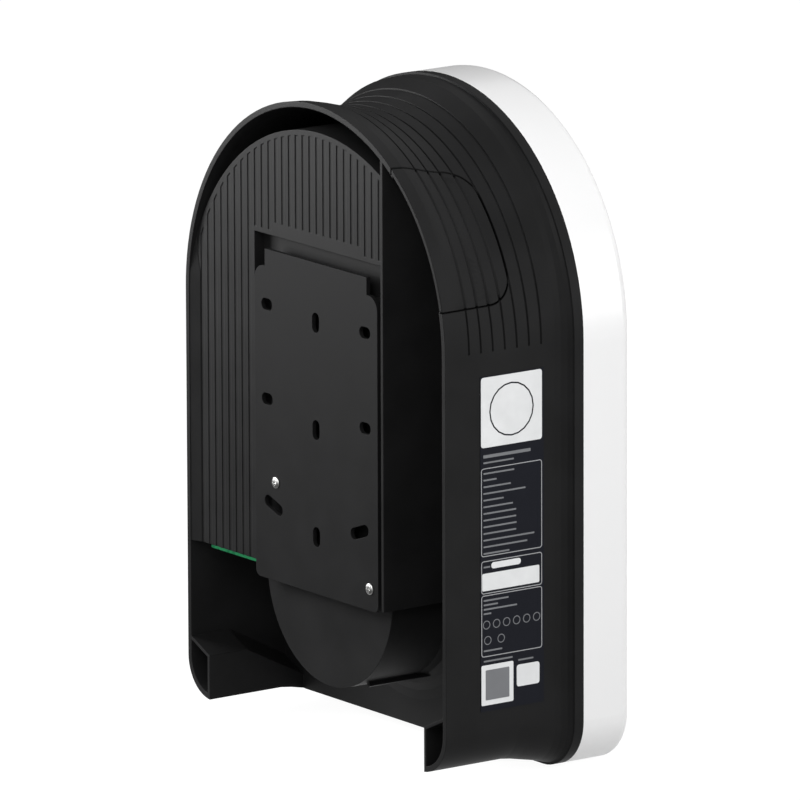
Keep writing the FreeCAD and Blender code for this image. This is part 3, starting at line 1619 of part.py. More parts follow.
def build_grommet():
    """The rubber grommet that the supply cable passes through, seated in the bulkhead."""
    lip, thick = S.grommet_lip, S.bulkhead_wall
    ring, neck, bore = S.grommet_radius, S.grommet_hole - S.pin_fit, S.grommet_bore
    profile = [(bore, lip), (ring, lip), (ring, 0), (neck, 0), (neck, -thick),
               (ring, -thick), (ring, -thick - lip), (bore, -thick - lip)]
    return turned("CableGrommet", profile, -grommet_x(), S.bulkhead_depth, S.grommet_height)


def build_all():
    """Build every sub-part in order; the key is the node's name."""
    light = stand_places()[:2]
    reader = stand_places()[2:]
    stand = S.seam_depth + S.inner_cover_wall + S.light_board_stand + S.board_thick
    return {
        "housing": build_housing(),
        "side_access_cover": build_door(),
        "wall_bracket": build_bracket(),
        "bracket_screws": build_bracket_screws(),
        "rating_label": build_label(),
        "edge_board": build_strip(),
        "inner_cover_seal": build_seal(),
        "inner_cover": build_inner_cover(),
        "inner_cover_screws": build_inner_cover_screws(),
        "front_cover": build_front_cover(),
        "front_cover_screws": build_front_cover_screws(),
        "socket_housing": build_socket(),
        "contact_carrier": build_carrier(),
        "socket_screws": build_socket_screws(),
        "power_contacts": sleeves("PowerContacts", power_pin_places(), S.power_pin_radius,
                                  S.power_pin_bore),
        "signal_contacts": sleeves("SignalContacts", signal_pin_places(),
                                   S.signal_pin_radius, S.signal_pin_bore),
        "socket_flap": build_flap(),
        "flap_hinge_pin": build_hinge_pin(),
        "flap_spring": build_flap_spring(),
        "lock_actuator": build_lock_actuator(),
        "lock_pin": build_lock_pin(),
        "power_board": build_power_board(),
        "power_board_screws": forward_screws("PowerBoardScrews", board_screw_places(),
                                             board_face(), S.screw_length - 1),
        "contactor": build_contactor(),
        "terminal_block": build_terminals(),
        "terminal_screws": build_terminal_screws(),
        "current_sensor": build_sensor(),
        "light_board": small_board("LightBoard", S.light_board_width, S.light_board_height,
                                   light_centre(), light),
        "light_board_screws": forward_screws("LightBoardScrews", light, stand,
                                             S.light_board_stand),
        "light_guide": build_light_guide(),
        "reader_board": small_board("ReaderBoard", S.reader_size, S.reader_size,
                                    reader_centre(), reader),
        "reader_board_screws": forward_screws("ReaderBoardScrews", reader, stand,
                                              S.light_board_stand),
        "cable_grommet": build_grommet(),
    }


def check_and_export(nodes):
    """Refuse a model with a failed object or a broken shape, then write one file per node."""
    failed = [item.Name for item in doc.Objects
              if "Invalid" in item.State or "Error" in item.State]
    if failed:
        raise ValueError(f"these objects failed: {failed}")
    for name, item in nodes.items():
        if item.Shape.isNull() or not item.Shape.isValid():
            raise ValueError(f"the shape of {name} is not valid")
    os.makedirs("parts", exist_ok=True)
    for name, item in nodes.items():
        item.Label = name
        item.Shape.exportStep(os.path.join("parts", name + ".step"))


nodes = build_all()
doc.recompute()
check_and_export(nodes)
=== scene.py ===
"""The looks of a wall-mounted charging unit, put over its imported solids.

The unit is seen from behind and to one side: a dark moulded housing with a ribbed panel, a
cable-wrap saddle and a steel bracket, and the edge of its glossy white front cover.
"""

import logging
import math
from dataclasses import dataclass
from enum import Enum
from typing import Iterable, Optional, Union

import bmesh
import bpy
from mathutils import Matrix, Vector


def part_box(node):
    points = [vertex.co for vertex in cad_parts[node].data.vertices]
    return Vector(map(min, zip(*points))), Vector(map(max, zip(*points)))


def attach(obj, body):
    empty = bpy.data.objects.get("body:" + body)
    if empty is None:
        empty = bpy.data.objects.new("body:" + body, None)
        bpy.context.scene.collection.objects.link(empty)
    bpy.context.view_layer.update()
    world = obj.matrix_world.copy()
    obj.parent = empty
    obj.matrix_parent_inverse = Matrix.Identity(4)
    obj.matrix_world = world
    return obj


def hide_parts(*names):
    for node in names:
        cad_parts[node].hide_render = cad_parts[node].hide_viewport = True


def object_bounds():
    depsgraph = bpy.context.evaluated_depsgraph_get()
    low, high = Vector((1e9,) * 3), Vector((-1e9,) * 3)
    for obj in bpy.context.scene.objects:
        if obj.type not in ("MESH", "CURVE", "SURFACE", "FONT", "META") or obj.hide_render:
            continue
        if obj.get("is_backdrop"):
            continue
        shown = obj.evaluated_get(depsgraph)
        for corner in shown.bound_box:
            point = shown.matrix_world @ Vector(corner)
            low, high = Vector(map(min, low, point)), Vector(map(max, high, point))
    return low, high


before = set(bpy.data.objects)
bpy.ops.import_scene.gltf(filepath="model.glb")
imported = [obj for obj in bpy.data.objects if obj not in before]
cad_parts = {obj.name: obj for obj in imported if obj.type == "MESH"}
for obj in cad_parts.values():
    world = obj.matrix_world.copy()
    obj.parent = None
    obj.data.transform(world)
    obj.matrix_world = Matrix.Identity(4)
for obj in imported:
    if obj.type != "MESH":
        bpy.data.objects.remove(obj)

LOG = logging.getLogger("wall_unit")
MM = 0.001
Place = tuple[float, float]
Point = tuple[float, float, float]
Colour = tuple[float, float, float]
Ramp = tuple[float, float]
Owner = Union[bpy.types.Material, bpy.types.World]
Fed = Union["Signal", float, Colour]
Inputs = dict[Union[int, str], Fed]
WHITE: Colour = (1.0, 1.0, 1.0)


class Body(Enum):
    """The bodies that added pieces ride on."""

    UNIT = "unit"
    ACCESS_COVER = "access_cover"


class Slot(Enum):
    """The record's finishes that added pieces belong to."""

    HOUSING = "housing_plastic"
    ZINC = "zinc_steel"
    LABEL = "label_film"


# Shader building


@dataclass(frozen=True)
class Cloud:
    """Cloudy noise and what a finish does with it.

    Its size is that of its features in metres. Detail counts its finer layers and roughness is
    their strength. Gloss is how far it moves a finish's roughness. Between the ends of its ramp
    the colour goes over to a tint.
    """

    size: float
    detail: float = 2.0
    roughness: float = 0.5
    gloss: float = 0.0
    ramp: Ramp = (0.3, 0.7)
    tint: float = 1.0


class Signal:
    """The output of a shader node, with arithmetic that adds Math nodes."""

    MIDDLE = 0.5

    def __init__(self, graph: "Graph", socket: bpy.types.NodeSocket) -> None:
        """Wrap a socket of a graph's node.

        Args:
            graph: The graph that the node stands in.
            socket: The node's output.
        """
        self.graph = graph
        self.socket = socket

    def maths(self, operation: str, *others: Fed, flip: bool = False) -> "Signal":
        """Combine this value with others.

        Args:
            operation: The Math node's operation.
            others: The remaining inputs, as numbers or signals.
            flip: Whether this value goes last.

        Returns:
            The result of the operation.
        """
        values: list[Fed] = [self, *others]
        if flip:
            values.reverse()
        return self.graph.signal("ShaderNodeMath", {"operation": operation},
                                 dict(enumerate(values)))

    def __add__(self, other: Fed) -> "Signal":
        """Return the sum."""
        return self.maths("ADD", other)

    __radd__ = __add__

    def __sub__(self, other: Fed) -> "Signal":
        """Return the difference."""
        return self.maths("SUBTRACT", other)

    def __rsub__(self, other: Fed) -> "Signal":
        """Return the other value less this one."""
        return self.maths("SUBTRACT", other, flip=True)

    def __mul__(self, other: Fed) -> "Signal":
        """Return the product."""
        return self.maths("MULTIPLY", other)

    __rmul__ = __mul__

    def swing(self, strength: float) -> "Signal":
        """Return how far a value from 0 to 1 lies above its middle.

        Args:
            strength: What the distance is multiplied by.

        Returns:
            The distance, below 0 under the middle.
        """
        return (self - self.MIDDLE) * strength

    def between(self, low: float, high: float) -> "Signal":
        """Return a ramp.

        Args:
            low: The value up to which it is 0.
            high: The value from which it is 1.

        Returns:
            The ramp, straight from one end to the other.
        """
        return self.graph.signal("ShaderNodeMapRange", {"clamp": True},
                                 {"Value": self, "From Min": low, "From Max": high})


class Graph:
    """The node tree of one material, or of the world."""

    MIX_INPUTS = (0, 6, 7)
    MIX_OUTPUT = 2
    BEVEL_SAMPLES = 6

    def __init__(self, owner: Owner) -> None:
        """Start with an empty tree.

        Args:
            owner: The material or world that the tree belongs to.
        """
        owner.use_nodes = True
        self.owner = owner
        self.tree = owner.node_tree
        self.tree.nodes.clear()

    def node(self, kind: str, settings: Optional[dict[str, object]] = None,
             inputs: Optional[Inputs] = None) -> bpy.types.Node:
        """Add any node.

        Args:
            kind: The node's type.
            settings: Its properties, set first.
            inputs: Numbers, colours or signals for its sockets, by name or number.

        Returns:
            The node.
        """
        made = self.tree.nodes.new(kind)
        for name, value in (settings or {}).items():
            setattr(made, name, value)
        for name, value in (inputs or {}).items():
            self.feed(made.inputs[name], value)
        return made

    def signal(self, kind: str, settings: Optional[dict[str, object]] = None,
               inputs: Optional[Inputs] = None, output: Union[int, str] = 0) -> Signal:
        """Add any node and pick one of its outputs.

        Args:
            kind: The node's type.
            settings: Its properties.
            inputs: What its sockets are fed.
            output: The output's name or number.

        Returns:
            The output.
        """
        return Signal(self, self.node(kind, settings, inputs).outputs[output])

    def feed(self, socket: bpy.types.NodeSocket, value: Fed) -> None:
        """Link a signal to a socket, or set the socket's own number or colour.

        Args:
            socket: The input.
            value: What it is fed.
        """
        if isinstance(value, Signal):
            self.tree.links.new(value.socket, socket)
        elif isinstance(value, tuple):
            socket.default_value = (*value, 1.0)[:len(socket.default_value)]
        else:
            socket.default_value = value

    def position(self) -> Signal:
        """Return the surface point in the row frame, in metres."""
        return self.signal("ShaderNodeTexCoord", output="Object")

    def noise(self, point: Signal, cloud: Cloud) -> Signal:
        """Add cloudy noise.

        Args:
            point: Where it is read.
            cloud: Its size and layers.

        Returns:
            The noise, from 0 to 1.
        """
        return self.signal("ShaderNodeTexNoise", {"noise_dimensions": "3D"},
                           {"Vector": point, "Scale": 1.0 / cloud.size, "Detail": cloud.detail,
                            "Roughness": cloud.roughness})

    def blend(self, factor: Fed, first: Fed, second: Fed) -> Signal:
        """Go from one colour to another.

        Args:
            factor: 0 for the first and 1 for the second.
            first: A colour.
            second: Another colour.

        Returns:
            The colour between them.
        """
        made = self.node("ShaderNodeMix", {"data_type": "RGBA"},
                         dict(zip(self.MIX_INPUTS, (factor, first, second))))
        return Signal(self, made.outputs[self.MIX_OUTPUT])

    def bump(self, height: Signal, depth: float, soften: float = 0.0) -> Signal:
        """Turn a height from 0 to 1 into a normal.

        Args:
            height: The height.
            depth: How deep it is, in metres.
            soften: The radius in metres by which sharp edges look rounded, 0 for none.

        Returns:
            The normal.
        """
        inputs: Inputs = {"Height": height, "Strength": 1.0, "Distance": depth}
        if soften > 0:
            inputs["Normal"] = self.signal("ShaderNodeBevel", {"samples": self.BEVEL_SAMPLES},
                                           {"Radius": soften})
        return self.signal("ShaderNodeBump", inputs=inputs)

    def close(self, shader: Signal) -> Owner:
        """Give a shader to the output node.

        Args:
            shader: The finished shader.

        Returns:
            The owner of the tree.
        """
        kind = "World" if isinstance(self.owner, bpy.types.World) else "Material"
        self.node("ShaderNodeOutput" + kind, inputs={"Surface": shader})
        return self.owner

    def shows_background(self) -> Signal:
        """Return 1 for the camera's own rays and those of reflections and glass, else 0."""
        path = self.node("ShaderNodeLightPath")
        kinds = ("Is Camera Ray", "Is Glossy Ray", "Is Transmission Ray")
        camera, glossy, through = (Signal(self, path.outputs[kind]) for kind in kinds)
        return camera.maths("MAXIMUM", glossy).maths("MAXIMUM", through)

    def either(self, factor: Fed, first: Signal, second: Signal) -> Signal:
        """Go from one shader to another.

        Args:
            factor: 0 for the first and 1 for the second.
            first: A shader.
            second: Another shader.

        Returns:
            The mixed shader.
        """
        return self.signal("ShaderNodeMixShader", inputs={0: factor, 1: first, 2: second})


# Finishes


@dataclass(frozen=True)
class DoorSeamShade:
    """Painted shade along the edges of the side access cover, standing for the shadow in the gap
    round it.
    """

    node: str = "side_access_cover"
    corner: float = 15.0 * MM
    inside: float = 0.25 * MM
    outside: float = 0.75 * MM
    fade: float = 0.2 * MM
    shade: float = 0.12

    def beyond(self, first: Signal, second: Signal) -> Signal:
        """Return how far a point lies beyond the round corner of two edges.

        Args:
            first: How far it lies beyond the first edge, in metres.
            second: How far it lies beyond the second edge.

        Returns:
            The distance, below 0 inside.
        """
        along, across = first + self.corner, second + self.corner
        reach_along, reach_across = along.maths("MAXIMUM", 0.0), across.maths("MAXIMUM", 0.0)
        outer = (reach_along * reach_along + reach_across * reach_across).maths("SQRT")
        inner = along.maths("MAXIMUM", across).maths("MINIMUM", 0.0)
        return outer + inner - self.corner

    def mask(self, graph: Graph, point: Signal) -> Signal:
        """Mark the painted shade line, whose place is read from the cover's solid.

        Args:
            graph: The graph that the mask is added to.
            point: The surface point.

        Returns:
            1 on the line and 0 away from it.
        """
        low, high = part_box(self.node)
        split = graph.node("ShaderNodeSeparateXYZ", inputs={"Vector": point})
        x, y, z = (Signal(graph, output) for output in split.outputs)
        forward = low.y - y
        below = self.beyond(low.z - z, forward)
        beside = self.beyond(x - high.x, forward)
        gap = below.maths("MAXIMUM", beside)
        starts = gap.between(-self.inside - self.fade, -self.inside)
        ends = gap.between(self.outside, self.outside + self.fade)
        return starts - ends


@dataclass(frozen=True)
class Finish:
    """What every finish has: a name, a main colour and a surface shader."""

    name: str
    colour: Colour

    def tint(self, share: float) -> Colour:
        """Make the main colour lighter or darker.

        Args:
            share: What each channel is multiplied by.

        Returns:
            The new colour.
        """
        red, green, blue = self.colour
        return red * share, green * share, blue * share

    def clouded(self, graph: Graph, noise: Signal, cloud: Cloud) -> Signal:
        """Let the main colour go over to a cloud's tint.

        Args:
            graph: The graph that the colour is added to.
            noise: The cloud's noise.
            cloud: Its ramp and tint.

        Returns:
            The colour.
        """
        return graph.blend(noise.between(*cloud.ramp), self.colour, self.tint(cloud.tint))

    def inputs(self, graph: Graph, point: Signal) -> Inputs:
        """Return what the surface shader is fed.

        Args:
            graph: The graph that it stands in.
            point: The surface point.

        Returns:
            Numbers, colours or signals by the names of the shader's sockets.
        """
        raise NotImplementedError

    def material(self) -> bpy.types.Material:
        """Return a material of the finish's own name."""
        graph = Graph(bpy.data.materials.new(self.name))
        inputs = self.inputs(graph, graph.position())
        return graph.close(graph.signal("ShaderNodeBsdfPrincipled", inputs=inputs))


@dataclass(frozen=True)
class MouldedPlastic(Finish):
    """Plastic straight from the mould, with an eroded grain and faint flow marks, and painted
    shade along a door gap where one is given.
    """

    roughness: float = 0.5
    specular: float = 0.14
    grain: Cloud = Cloud(0.45 * MM, detail=3.0, roughness=0.6, gloss=0.12)
    flow: Cloud = Cloud(30.0 * MM, gloss=0.08, ramp=(0.35, 0.7), tint=1.3)
    depth: float = 0.03 * MM
    edge: float = 0.6 * MM
    seam_shade: Optional[DoorSeamShade] = None

    def inputs(self, graph: Graph, point: Signal) -> Inputs:
        """Return what the surface shader is fed; see Finish."""
        grain = graph.noise(point, self.grain)
        flow = graph.noise(point, self.flow)
        colour = self.clouded(graph, flow, self.flow)
        # Painted shade of the gap round the side access cover, which darkens the base colour.
        if self.seam_shade:
            colour = graph.blend(self.seam_shade.mask(graph, point), colour, self.tint(self.seam_shade.shade))
        return {
            "Base Color": colour,
            "Roughness": (grain.swing(self.grain.gloss) + flow.swing(self.flow.gloss)
                          + self.roughness),
            "Specular IOR Level": self.specular,
            "Normal": graph.bump(grain, self.depth, self.edge),
        }


@dataclass(frozen=True)
class GlossShell(Finish):
    """Glossy white moulding with a slight orange peel."""

    roughness: float = 0.3
    coat: float = 0.2
    coat_roughness: float = 0.2
    peel: Cloud = Cloud(4.0 * MM, detail=1.0)
    haze: Cloud = Cloud(50.0 * MM, detail=3.0, gloss=0.06)
    depth: float = 0.01 * MM
    edge: float = 0.5 * MM

    def inputs(self, graph: Graph, point: Signal) -> Inputs:
        """Return what the surface shader is fed; see Finish."""
        peel = graph.noise(point, self.peel)
        haze = graph.noise(point, self.haze)
        return {
            "Base Color": self.colour,
            "Roughness": haze.swing(self.haze.gloss) + self.roughness,
            "Coat Weight": self.coat,
            "Coat Roughness": self.coat_roughness,
            "Normal": graph.bump(peel, self.depth, self.edge),
        }


@dataclass(frozen=True)
class PowderCoat(Finish):
    """Matt powder coat on sheet steel."""

    roughness: float = 0.62
    specular: float = 0.14
    pebble: Cloud = Cloud(0.7 * MM, roughness=0.4)
    patch: Cloud = Cloud(20.0 * MM, detail=3.0, gloss=0.15, tint=1.35)
    depth: float = 0.03 * MM
    edge: float = 0.4 * MM

    def inputs(self, graph: Graph, point: Signal) -> Inputs:
        """Return what the surface shader is fed; see Finish."""
        pebble = graph.noise(point, self.pebble)
        patch = graph.noise(point, self.patch)
        return {
            "Base Color": self.clouded(graph, patch, self.patch),
            "Roughness": patch.swing(self.patch.gloss) + self.roughness,
            "Specular IOR Level": self.specular,
            "Normal": graph.bump(pebble, self.depth, self.edge),
        }


@dataclass(frozen=True)
class PlatedMetal(Finish):
    """Plated or bare metal with fine tool marks."""

    roughness: float = 0.3
    marks: Cloud = Cloud(0.4 * MM, detail=4.0, roughness=0.7, gloss=0.25)
    stain: Cloud = Cloud(3.0 * MM, ramp=(0.4, 0.8), tint=0.75)
    depth: float = 0.008 * MM
    edge: float = 0.15 * MM

    def inputs(self, graph: Graph, point: Signal) -> Inputs:
        """Return what the surface shader is fed; see Finish."""
        marks = graph.noise(point, self.marks)
        stain = graph.noise(point, self.stain)
        return {
            "Base Color": self.clouded(graph, stain, self.stain),
            "Metallic": 1.0,
            "Roughness": marks.swing(self.marks.gloss) + self.roughness,
            "Normal": graph.bump(marks, self.depth, self.edge),
        }


@dataclass(frozen=True)
class PrintedFilm(Finish):
    """Satin film that one ink covers evenly."""

    roughness: float = 0.45
    specular: float = 0.3
    fibre: Cloud = Cloud(0.6 * MM, detail=3.0, gloss=0.1)
    wash: Cloud = Cloud(12.0 * MM, ramp=(0.3, 0.8), tint=0.9)
    depth: float = 0.004 * MM

    def inputs(self, graph: Graph, point: Signal) -> Inputs:
        """Return what the surface shader is fed; see Finish."""
        fibre = graph.noise(point, self.fibre)
        wash = graph.noise(point, self.wash)
        return {
            "Base Color": self.clouded(graph, wash, self.wash),
            "Roughness": fibre.swing(self.fibre.gloss) + self.roughness,
            "Specular IOR Level": self.specular,
            "Normal": graph.bump(fibre, self.depth),
        }


@dataclass(frozen=True)
class SolderMask(Finish):
    """Green lacquer over a board's copper tracks."""

    track: Colour
    tracks_per_metre: float = 260.0
    track_ramp: Ramp = (0.42, 0.5)
    track_share: float = 0.6
    roughness: float = 0.3
    specular: float = 0.08
    lacquer: Cloud = Cloud(2.0 * MM, gloss=0.15)
    depth: float = 0.02 * MM

    def inputs(self, graph: Graph, point: Signal) -> Inputs:
        """Return what the surface shader is fed; see Finish."""
        cells = graph.signal("ShaderNodeTexVoronoi", {"distance": "MANHATTAN"},
                             {"Vector": point, "Scale": self.tracks_per_metre})
        tracks = cells.between(*self.track_ramp)
        lacquer = graph.noise(point, self.lacquer)
        return {
            "Base Color": graph.blend(tracks * self.track_share, self.colour, self.track),
            "Roughness": lacquer.swing(self.lacquer.gloss) + self.roughness,
            "Specular IOR Level": self.specular,
            "Normal": graph.bump(tracks, self.depth),
        }


@dataclass(frozen=True)
class Rubber(Finish):
    """Soft dull rubber with a bloom."""

    roughness: float = 0.72
    bloom: Cloud = Cloud(4.0 * MM, detail=4.0, gloss=0.2, ramp=(0.5, 0.9), tint=2.25)
    depth: float = 0.03 * MM
    edge: float = 0.4 * MM

    def inputs(self, graph: Graph, point: Signal) -> Inputs:
        """Return what the surface shader is fed; see Finish."""
        bloom = graph.noise(point, self.bloom)
        return {
            "Base Color": self.clouded(graph, bloom, self.bloom),
            "Roughness": bloom.swing(self.bloom.gloss) + self.roughness,
            "Normal": graph.bump(bloom, self.depth, self.edge),
        }


@dataclass(frozen=True)
class Lens(Finish):
    """Translucent light guide with a frosted face."""

    roughness: float = 0.28
    frost: Cloud = Cloud(0.5 * MM, gloss=0.1)
    scatter: float = 0.25
    scatter_reach: float = 4.0 * MM
    coat: float = 0.2
    depth: float = 0.006 * MM
    edge: float = 0.3 * MM

    def inputs(self, graph: Graph, point: Signal) -> Inputs:
        """Return what the surface shader is fed; see Finish."""
        frost = graph.noise(point, self.frost)
        return {
            "Base Color": self.colour,
            "Roughness": frost.swing(self.frost.gloss) + self.roughness,
            "Subsurface Weight": self.scatter,
            "Subsurface Scale": self.scatter_reach,
            "Coat Weight": self.coat,
            "Normal": graph.bump(frost, self.depth, self.edge),
        }


@dataclass(frozen=True)
class Palette:
    """Every finish of the unit."""

    housing: Finish = MouldedPlastic("housing_plastic", (0.0092, 0.0092, 0.0094), specular=0.065,
                                     seam_shade=DoorSeamShade())
    cover: Finish = GlossShell("cover_white", (0.85, 0.85, 0.852))
    bracket: Finish = PowderCoat("bracket_coat", (0.006, 0.006, 0.0062), specular=0.08)
    zinc: Finish = PlatedMetal("zinc_plate", (0.6, 0.6, 0.59), roughness=0.34)
    film: Finish = PrintedFilm("label_black", (0.0075, 0.0083, 0.0125), roughness=0.5,
                               specular=0.07)
    pale_ink: Finish = PrintedFilm("label_white", (0.77, 0.78, 0.785))
    line_ink: Finish = PrintedFilm("label_line", (0.36, 0.365, 0.375))
    grey_ink: Finish = PrintedFilm("label_grey", (0.17, 0.175, 0.185))
    board: Finish = SolderMask("board_green", (0.005, 0.07, 0.027), track=(0.012, 0.12, 0.046))
    rubber: Finish = Rubber("seal_rubber", (0.016, 0.016, 0.016))
    inner: Finish = MouldedPlastic("inner_grey", (0.11, 0.11, 0.115), roughness=0.55)
    socket: Finish = MouldedPlastic("socket_black", (0.014, 0.014, 0.015), roughness=0.42)
    contact: Finish = PlatedMetal("contact_plate", (0.78, 0.7, 0.52), roughness=0.25)
    spring: Finish = PlatedMetal("spring_wire", (0.55, 0.55, 0.56))
    lens: Finish = Lens("light_lens", (0.78, 0.82, 0.85))
    cases: Finish = MouldedPlastic("case_grey", (0.27, 0.27, 0.28))

    def materials(self) -> dict[Finish, bpy.types.Material]:
        """Return the material of every finish."""
        return {finish: finish.material() for finish in vars(self).values()}


# Meshes


class Maker:
    """Turns outlines and solids into pieces that ride on the frame."""

    @staticmethod
    def piece(name: str, mesh: bmesh.types.BMesh, material: bpy.types.Material, body: Body,
              slot: Slot, smooth_angle: float = 35.0) -> bpy.types.Object:
        """Make an object of a mesh and let it ride.

        Args:
            name: The piece's name.
            mesh: Its faces, in the row frame; it is freed here.
            material: Its finish.
            body: The body that it rides on.
            slot: The record's slot of its finish; not used.
            smooth_angle: Edges sharper than this many degrees stay sharp.

        Returns:
            The object.
        """
        bmesh.ops.recalc_face_normals(mesh, faces=mesh.faces)
        data = bpy.data.meshes.new(name)
        mesh.to_mesh(data)
        mesh.free()
        data.materials.append(material)
        data.shade_smooth()
        data.set_sharp_from_angle(angle=math.radians(smooth_angle))
        made = bpy.data.objects.new(name, data)
        bpy.context.scene.collection.objects.link(made)
        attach(made, body.value)
        LOG.info("piece %s on %s", name, body.value)
        return made

    @staticmethod
    def welded(node: str, reach: float) -> bmesh.types.BMesh:
        """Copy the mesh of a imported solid.

        Args:
            node: The solid's node.
            reach: How near two points have to lie to become one, in metres.

        Returns:
            The copy.
        """
        mesh = bmesh.new()
        mesh.from_mesh(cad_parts[node].data)
        bmesh.ops.remove_doubles(mesh, verts=mesh.verts, dist=reach)
        return mesh

    @staticmethod
    def settle(made: bpy.types.Object, modifier: bpy.types.Modifier,
               material: bpy.types.Material) -> None:
        """Turn a modifier's result into the object's own mesh.

        Args:
            made: The object.
            modifier: Its modifier, which is removed.
            material: The one finish of the result.
        """
        shown = made.evaluated_get(bpy.context.evaluated_depsgraph_get())
        data = bpy.data.meshes.new_from_object(shown)
        made.modifiers.remove(modifier)
        made.data = data
        data.materials.clear()
        data.materials.append(material)

    @staticmethod
    def prism(mesh: bmesh.types.BMesh, outline: list[Vector], rise: Vector) -> None:
        """Add a closed prism.

        Args:
            mesh: The mesh that it is added to.
            outline: One end of it.
            rise: The way from there to the other end.
        """
        low = [mesh.verts.new(point) for point in outline]
        high = [mesh.verts.new(point + rise) for point in outline]
        mesh.faces.new(low)
        mesh.faces.new(list(reversed(high)))
        count = len(outline)
        for index in range(count):
            after = (index + 1) % count
            mesh.faces.new([low[index], high[index], high[after], low[after]])

    @staticmethod
    def ring_prism(mesh: bmesh.types.BMesh, outer: list[Vector], inner: list[Vector],
                   rise: Vector) -> None:
        """Add a closed frame between two outlines with as many points each.

        Args:
            mesh: The mesh that it is added to.
            outer: The outer outline of one end.
            inner: The inner outline of that end.
            rise: The way from there to the other end.
        """
        rows = [[mesh.verts.new(point + shift) for point in outline]
                for outline, shift in ((outer, Vector()), (inner, Vector()),
                                       (inner, rise), (outer, rise))]
        count = len(outer)
        for near, far in zip(rows, rows[1:] + rows[:1]):
            for index in range(count):
                after = (index + 1) % count
                mesh.faces.new([near[index], near[after], far[after], far[index]])

    @staticmethod
    def rounded_outline(width: float, height: float, radius: float,
                        steps: int = 5) -> list[Place]:
        """Draw a rectangle with round corners about its middle.

        Args:
            width: Its width.
            height: Its height.
            radius: The radius of its corners.
            steps: How many lines make one corner.

        Returns:
            Its points.
        """
        points = []
        for quarter, (side, up) in enumerate(((1, 1), (-1, 1), (-1, -1), (1, -1))):
            centre = (side * (width / 2 - radius), up * (height / 2 - radius))
            for step in range(steps + 1):
                angle = math.pi / 2 * (quarter + step / steps)
                points.append((centre[0] + radius * math.cos(angle),
                               centre[1] + radius * math.sin(angle)))
        return points


# Pieces


@dataclass
class CarriedNodes:
    """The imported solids, each of which gets a finish."""

    palette: Palette
    made: dict[Finish, bpy.types.Material]

    def wearers(self) -> dict[Finish, tuple[str, ...]]:
        """Return the nodes that wear each finish."""
        kit = self.palette
        return {
            kit.housing: ("housing", "side_access_cover"),
            kit.cover: ("front_cover",),
            kit.bracket: ("wall_bracket",),
            kit.zinc: ("bracket_screws", "inner_cover_screws", "front_cover_screws",
                       "socket_screws", "power_board_screws", "light_board_screws",
                       "reader_board_screws", "terminal_screws", "flap_hinge_pin", "lock_pin"),
            kit.film: ("rating_label",),
            kit.board: ("edge_board", "power_board", "light_board", "reader_board"),
            kit.rubber: ("inner_cover_seal", "cable_grommet"),
            kit.inner: ("inner_cover",),
            kit.socket: ("socket_housing", "contact_carrier", "socket_flap"),
            kit.contact: ("power_contacts", "signal_contacts"),
            kit.spring: ("flap_spring",),
            kit.lens: ("light_guide",),
            kit.cases: ("contactor", "terminal_block", "current_sensor", "lock_actuator"),
        }

    def build(self) -> None:
        """Put each finish on its nodes."""
        for finish, names in self.wearers().items():
            for name in names:
                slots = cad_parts[name].data.materials
                slots.clear()
                slots.append(self.made[finish])
                LOG.info("node %s wears %s", name, finish.name)


@dataclass(frozen=True)
class Mark:
    """One printed shape, in millimetres.

    Its middle is given from the film's rear edge and from its top.
    """

    across: float
    down: float
    width: float
    height: float
    corner: float = 1.6


@dataclass(frozen=True)
class RingRow:
    """Plain rings side by side, in millimetres.

    Roundness is a hair under 1, so that no two points of a ring's outline meet.
    """

    across: float
    down: float
    radius: float
    count: int = 1
    pitch: float = 0.0
    roundness: float = 0.999

    def marks(self) -> list[Mark]:
        """Return one mark for each ring."""
        span = 2 * self.radius
        return [Mark(self.across + self.pitch * place, self.down, span, span,
                     self.radius * self.roundness)
                for place in range(self.count)]


@dataclass(frozen=True)
class BarRows:
    """Plain bars one under the other in the place of lines of print, in millimetres."""

    top: float
    widths: tuple[float, ...]
    pitch: float = 0.0
    left: float = 1.9
    thick: float = 0.9
    corner: float = 0.3

    def marks(self) -> list[Mark]:
        """Return one mark for each bar."""
        return [Mark(self.left + width / 2, self.top + self.pitch * row, width, self.thick,
                     self.corner)
                for row, width in enumerate(self.widths)]


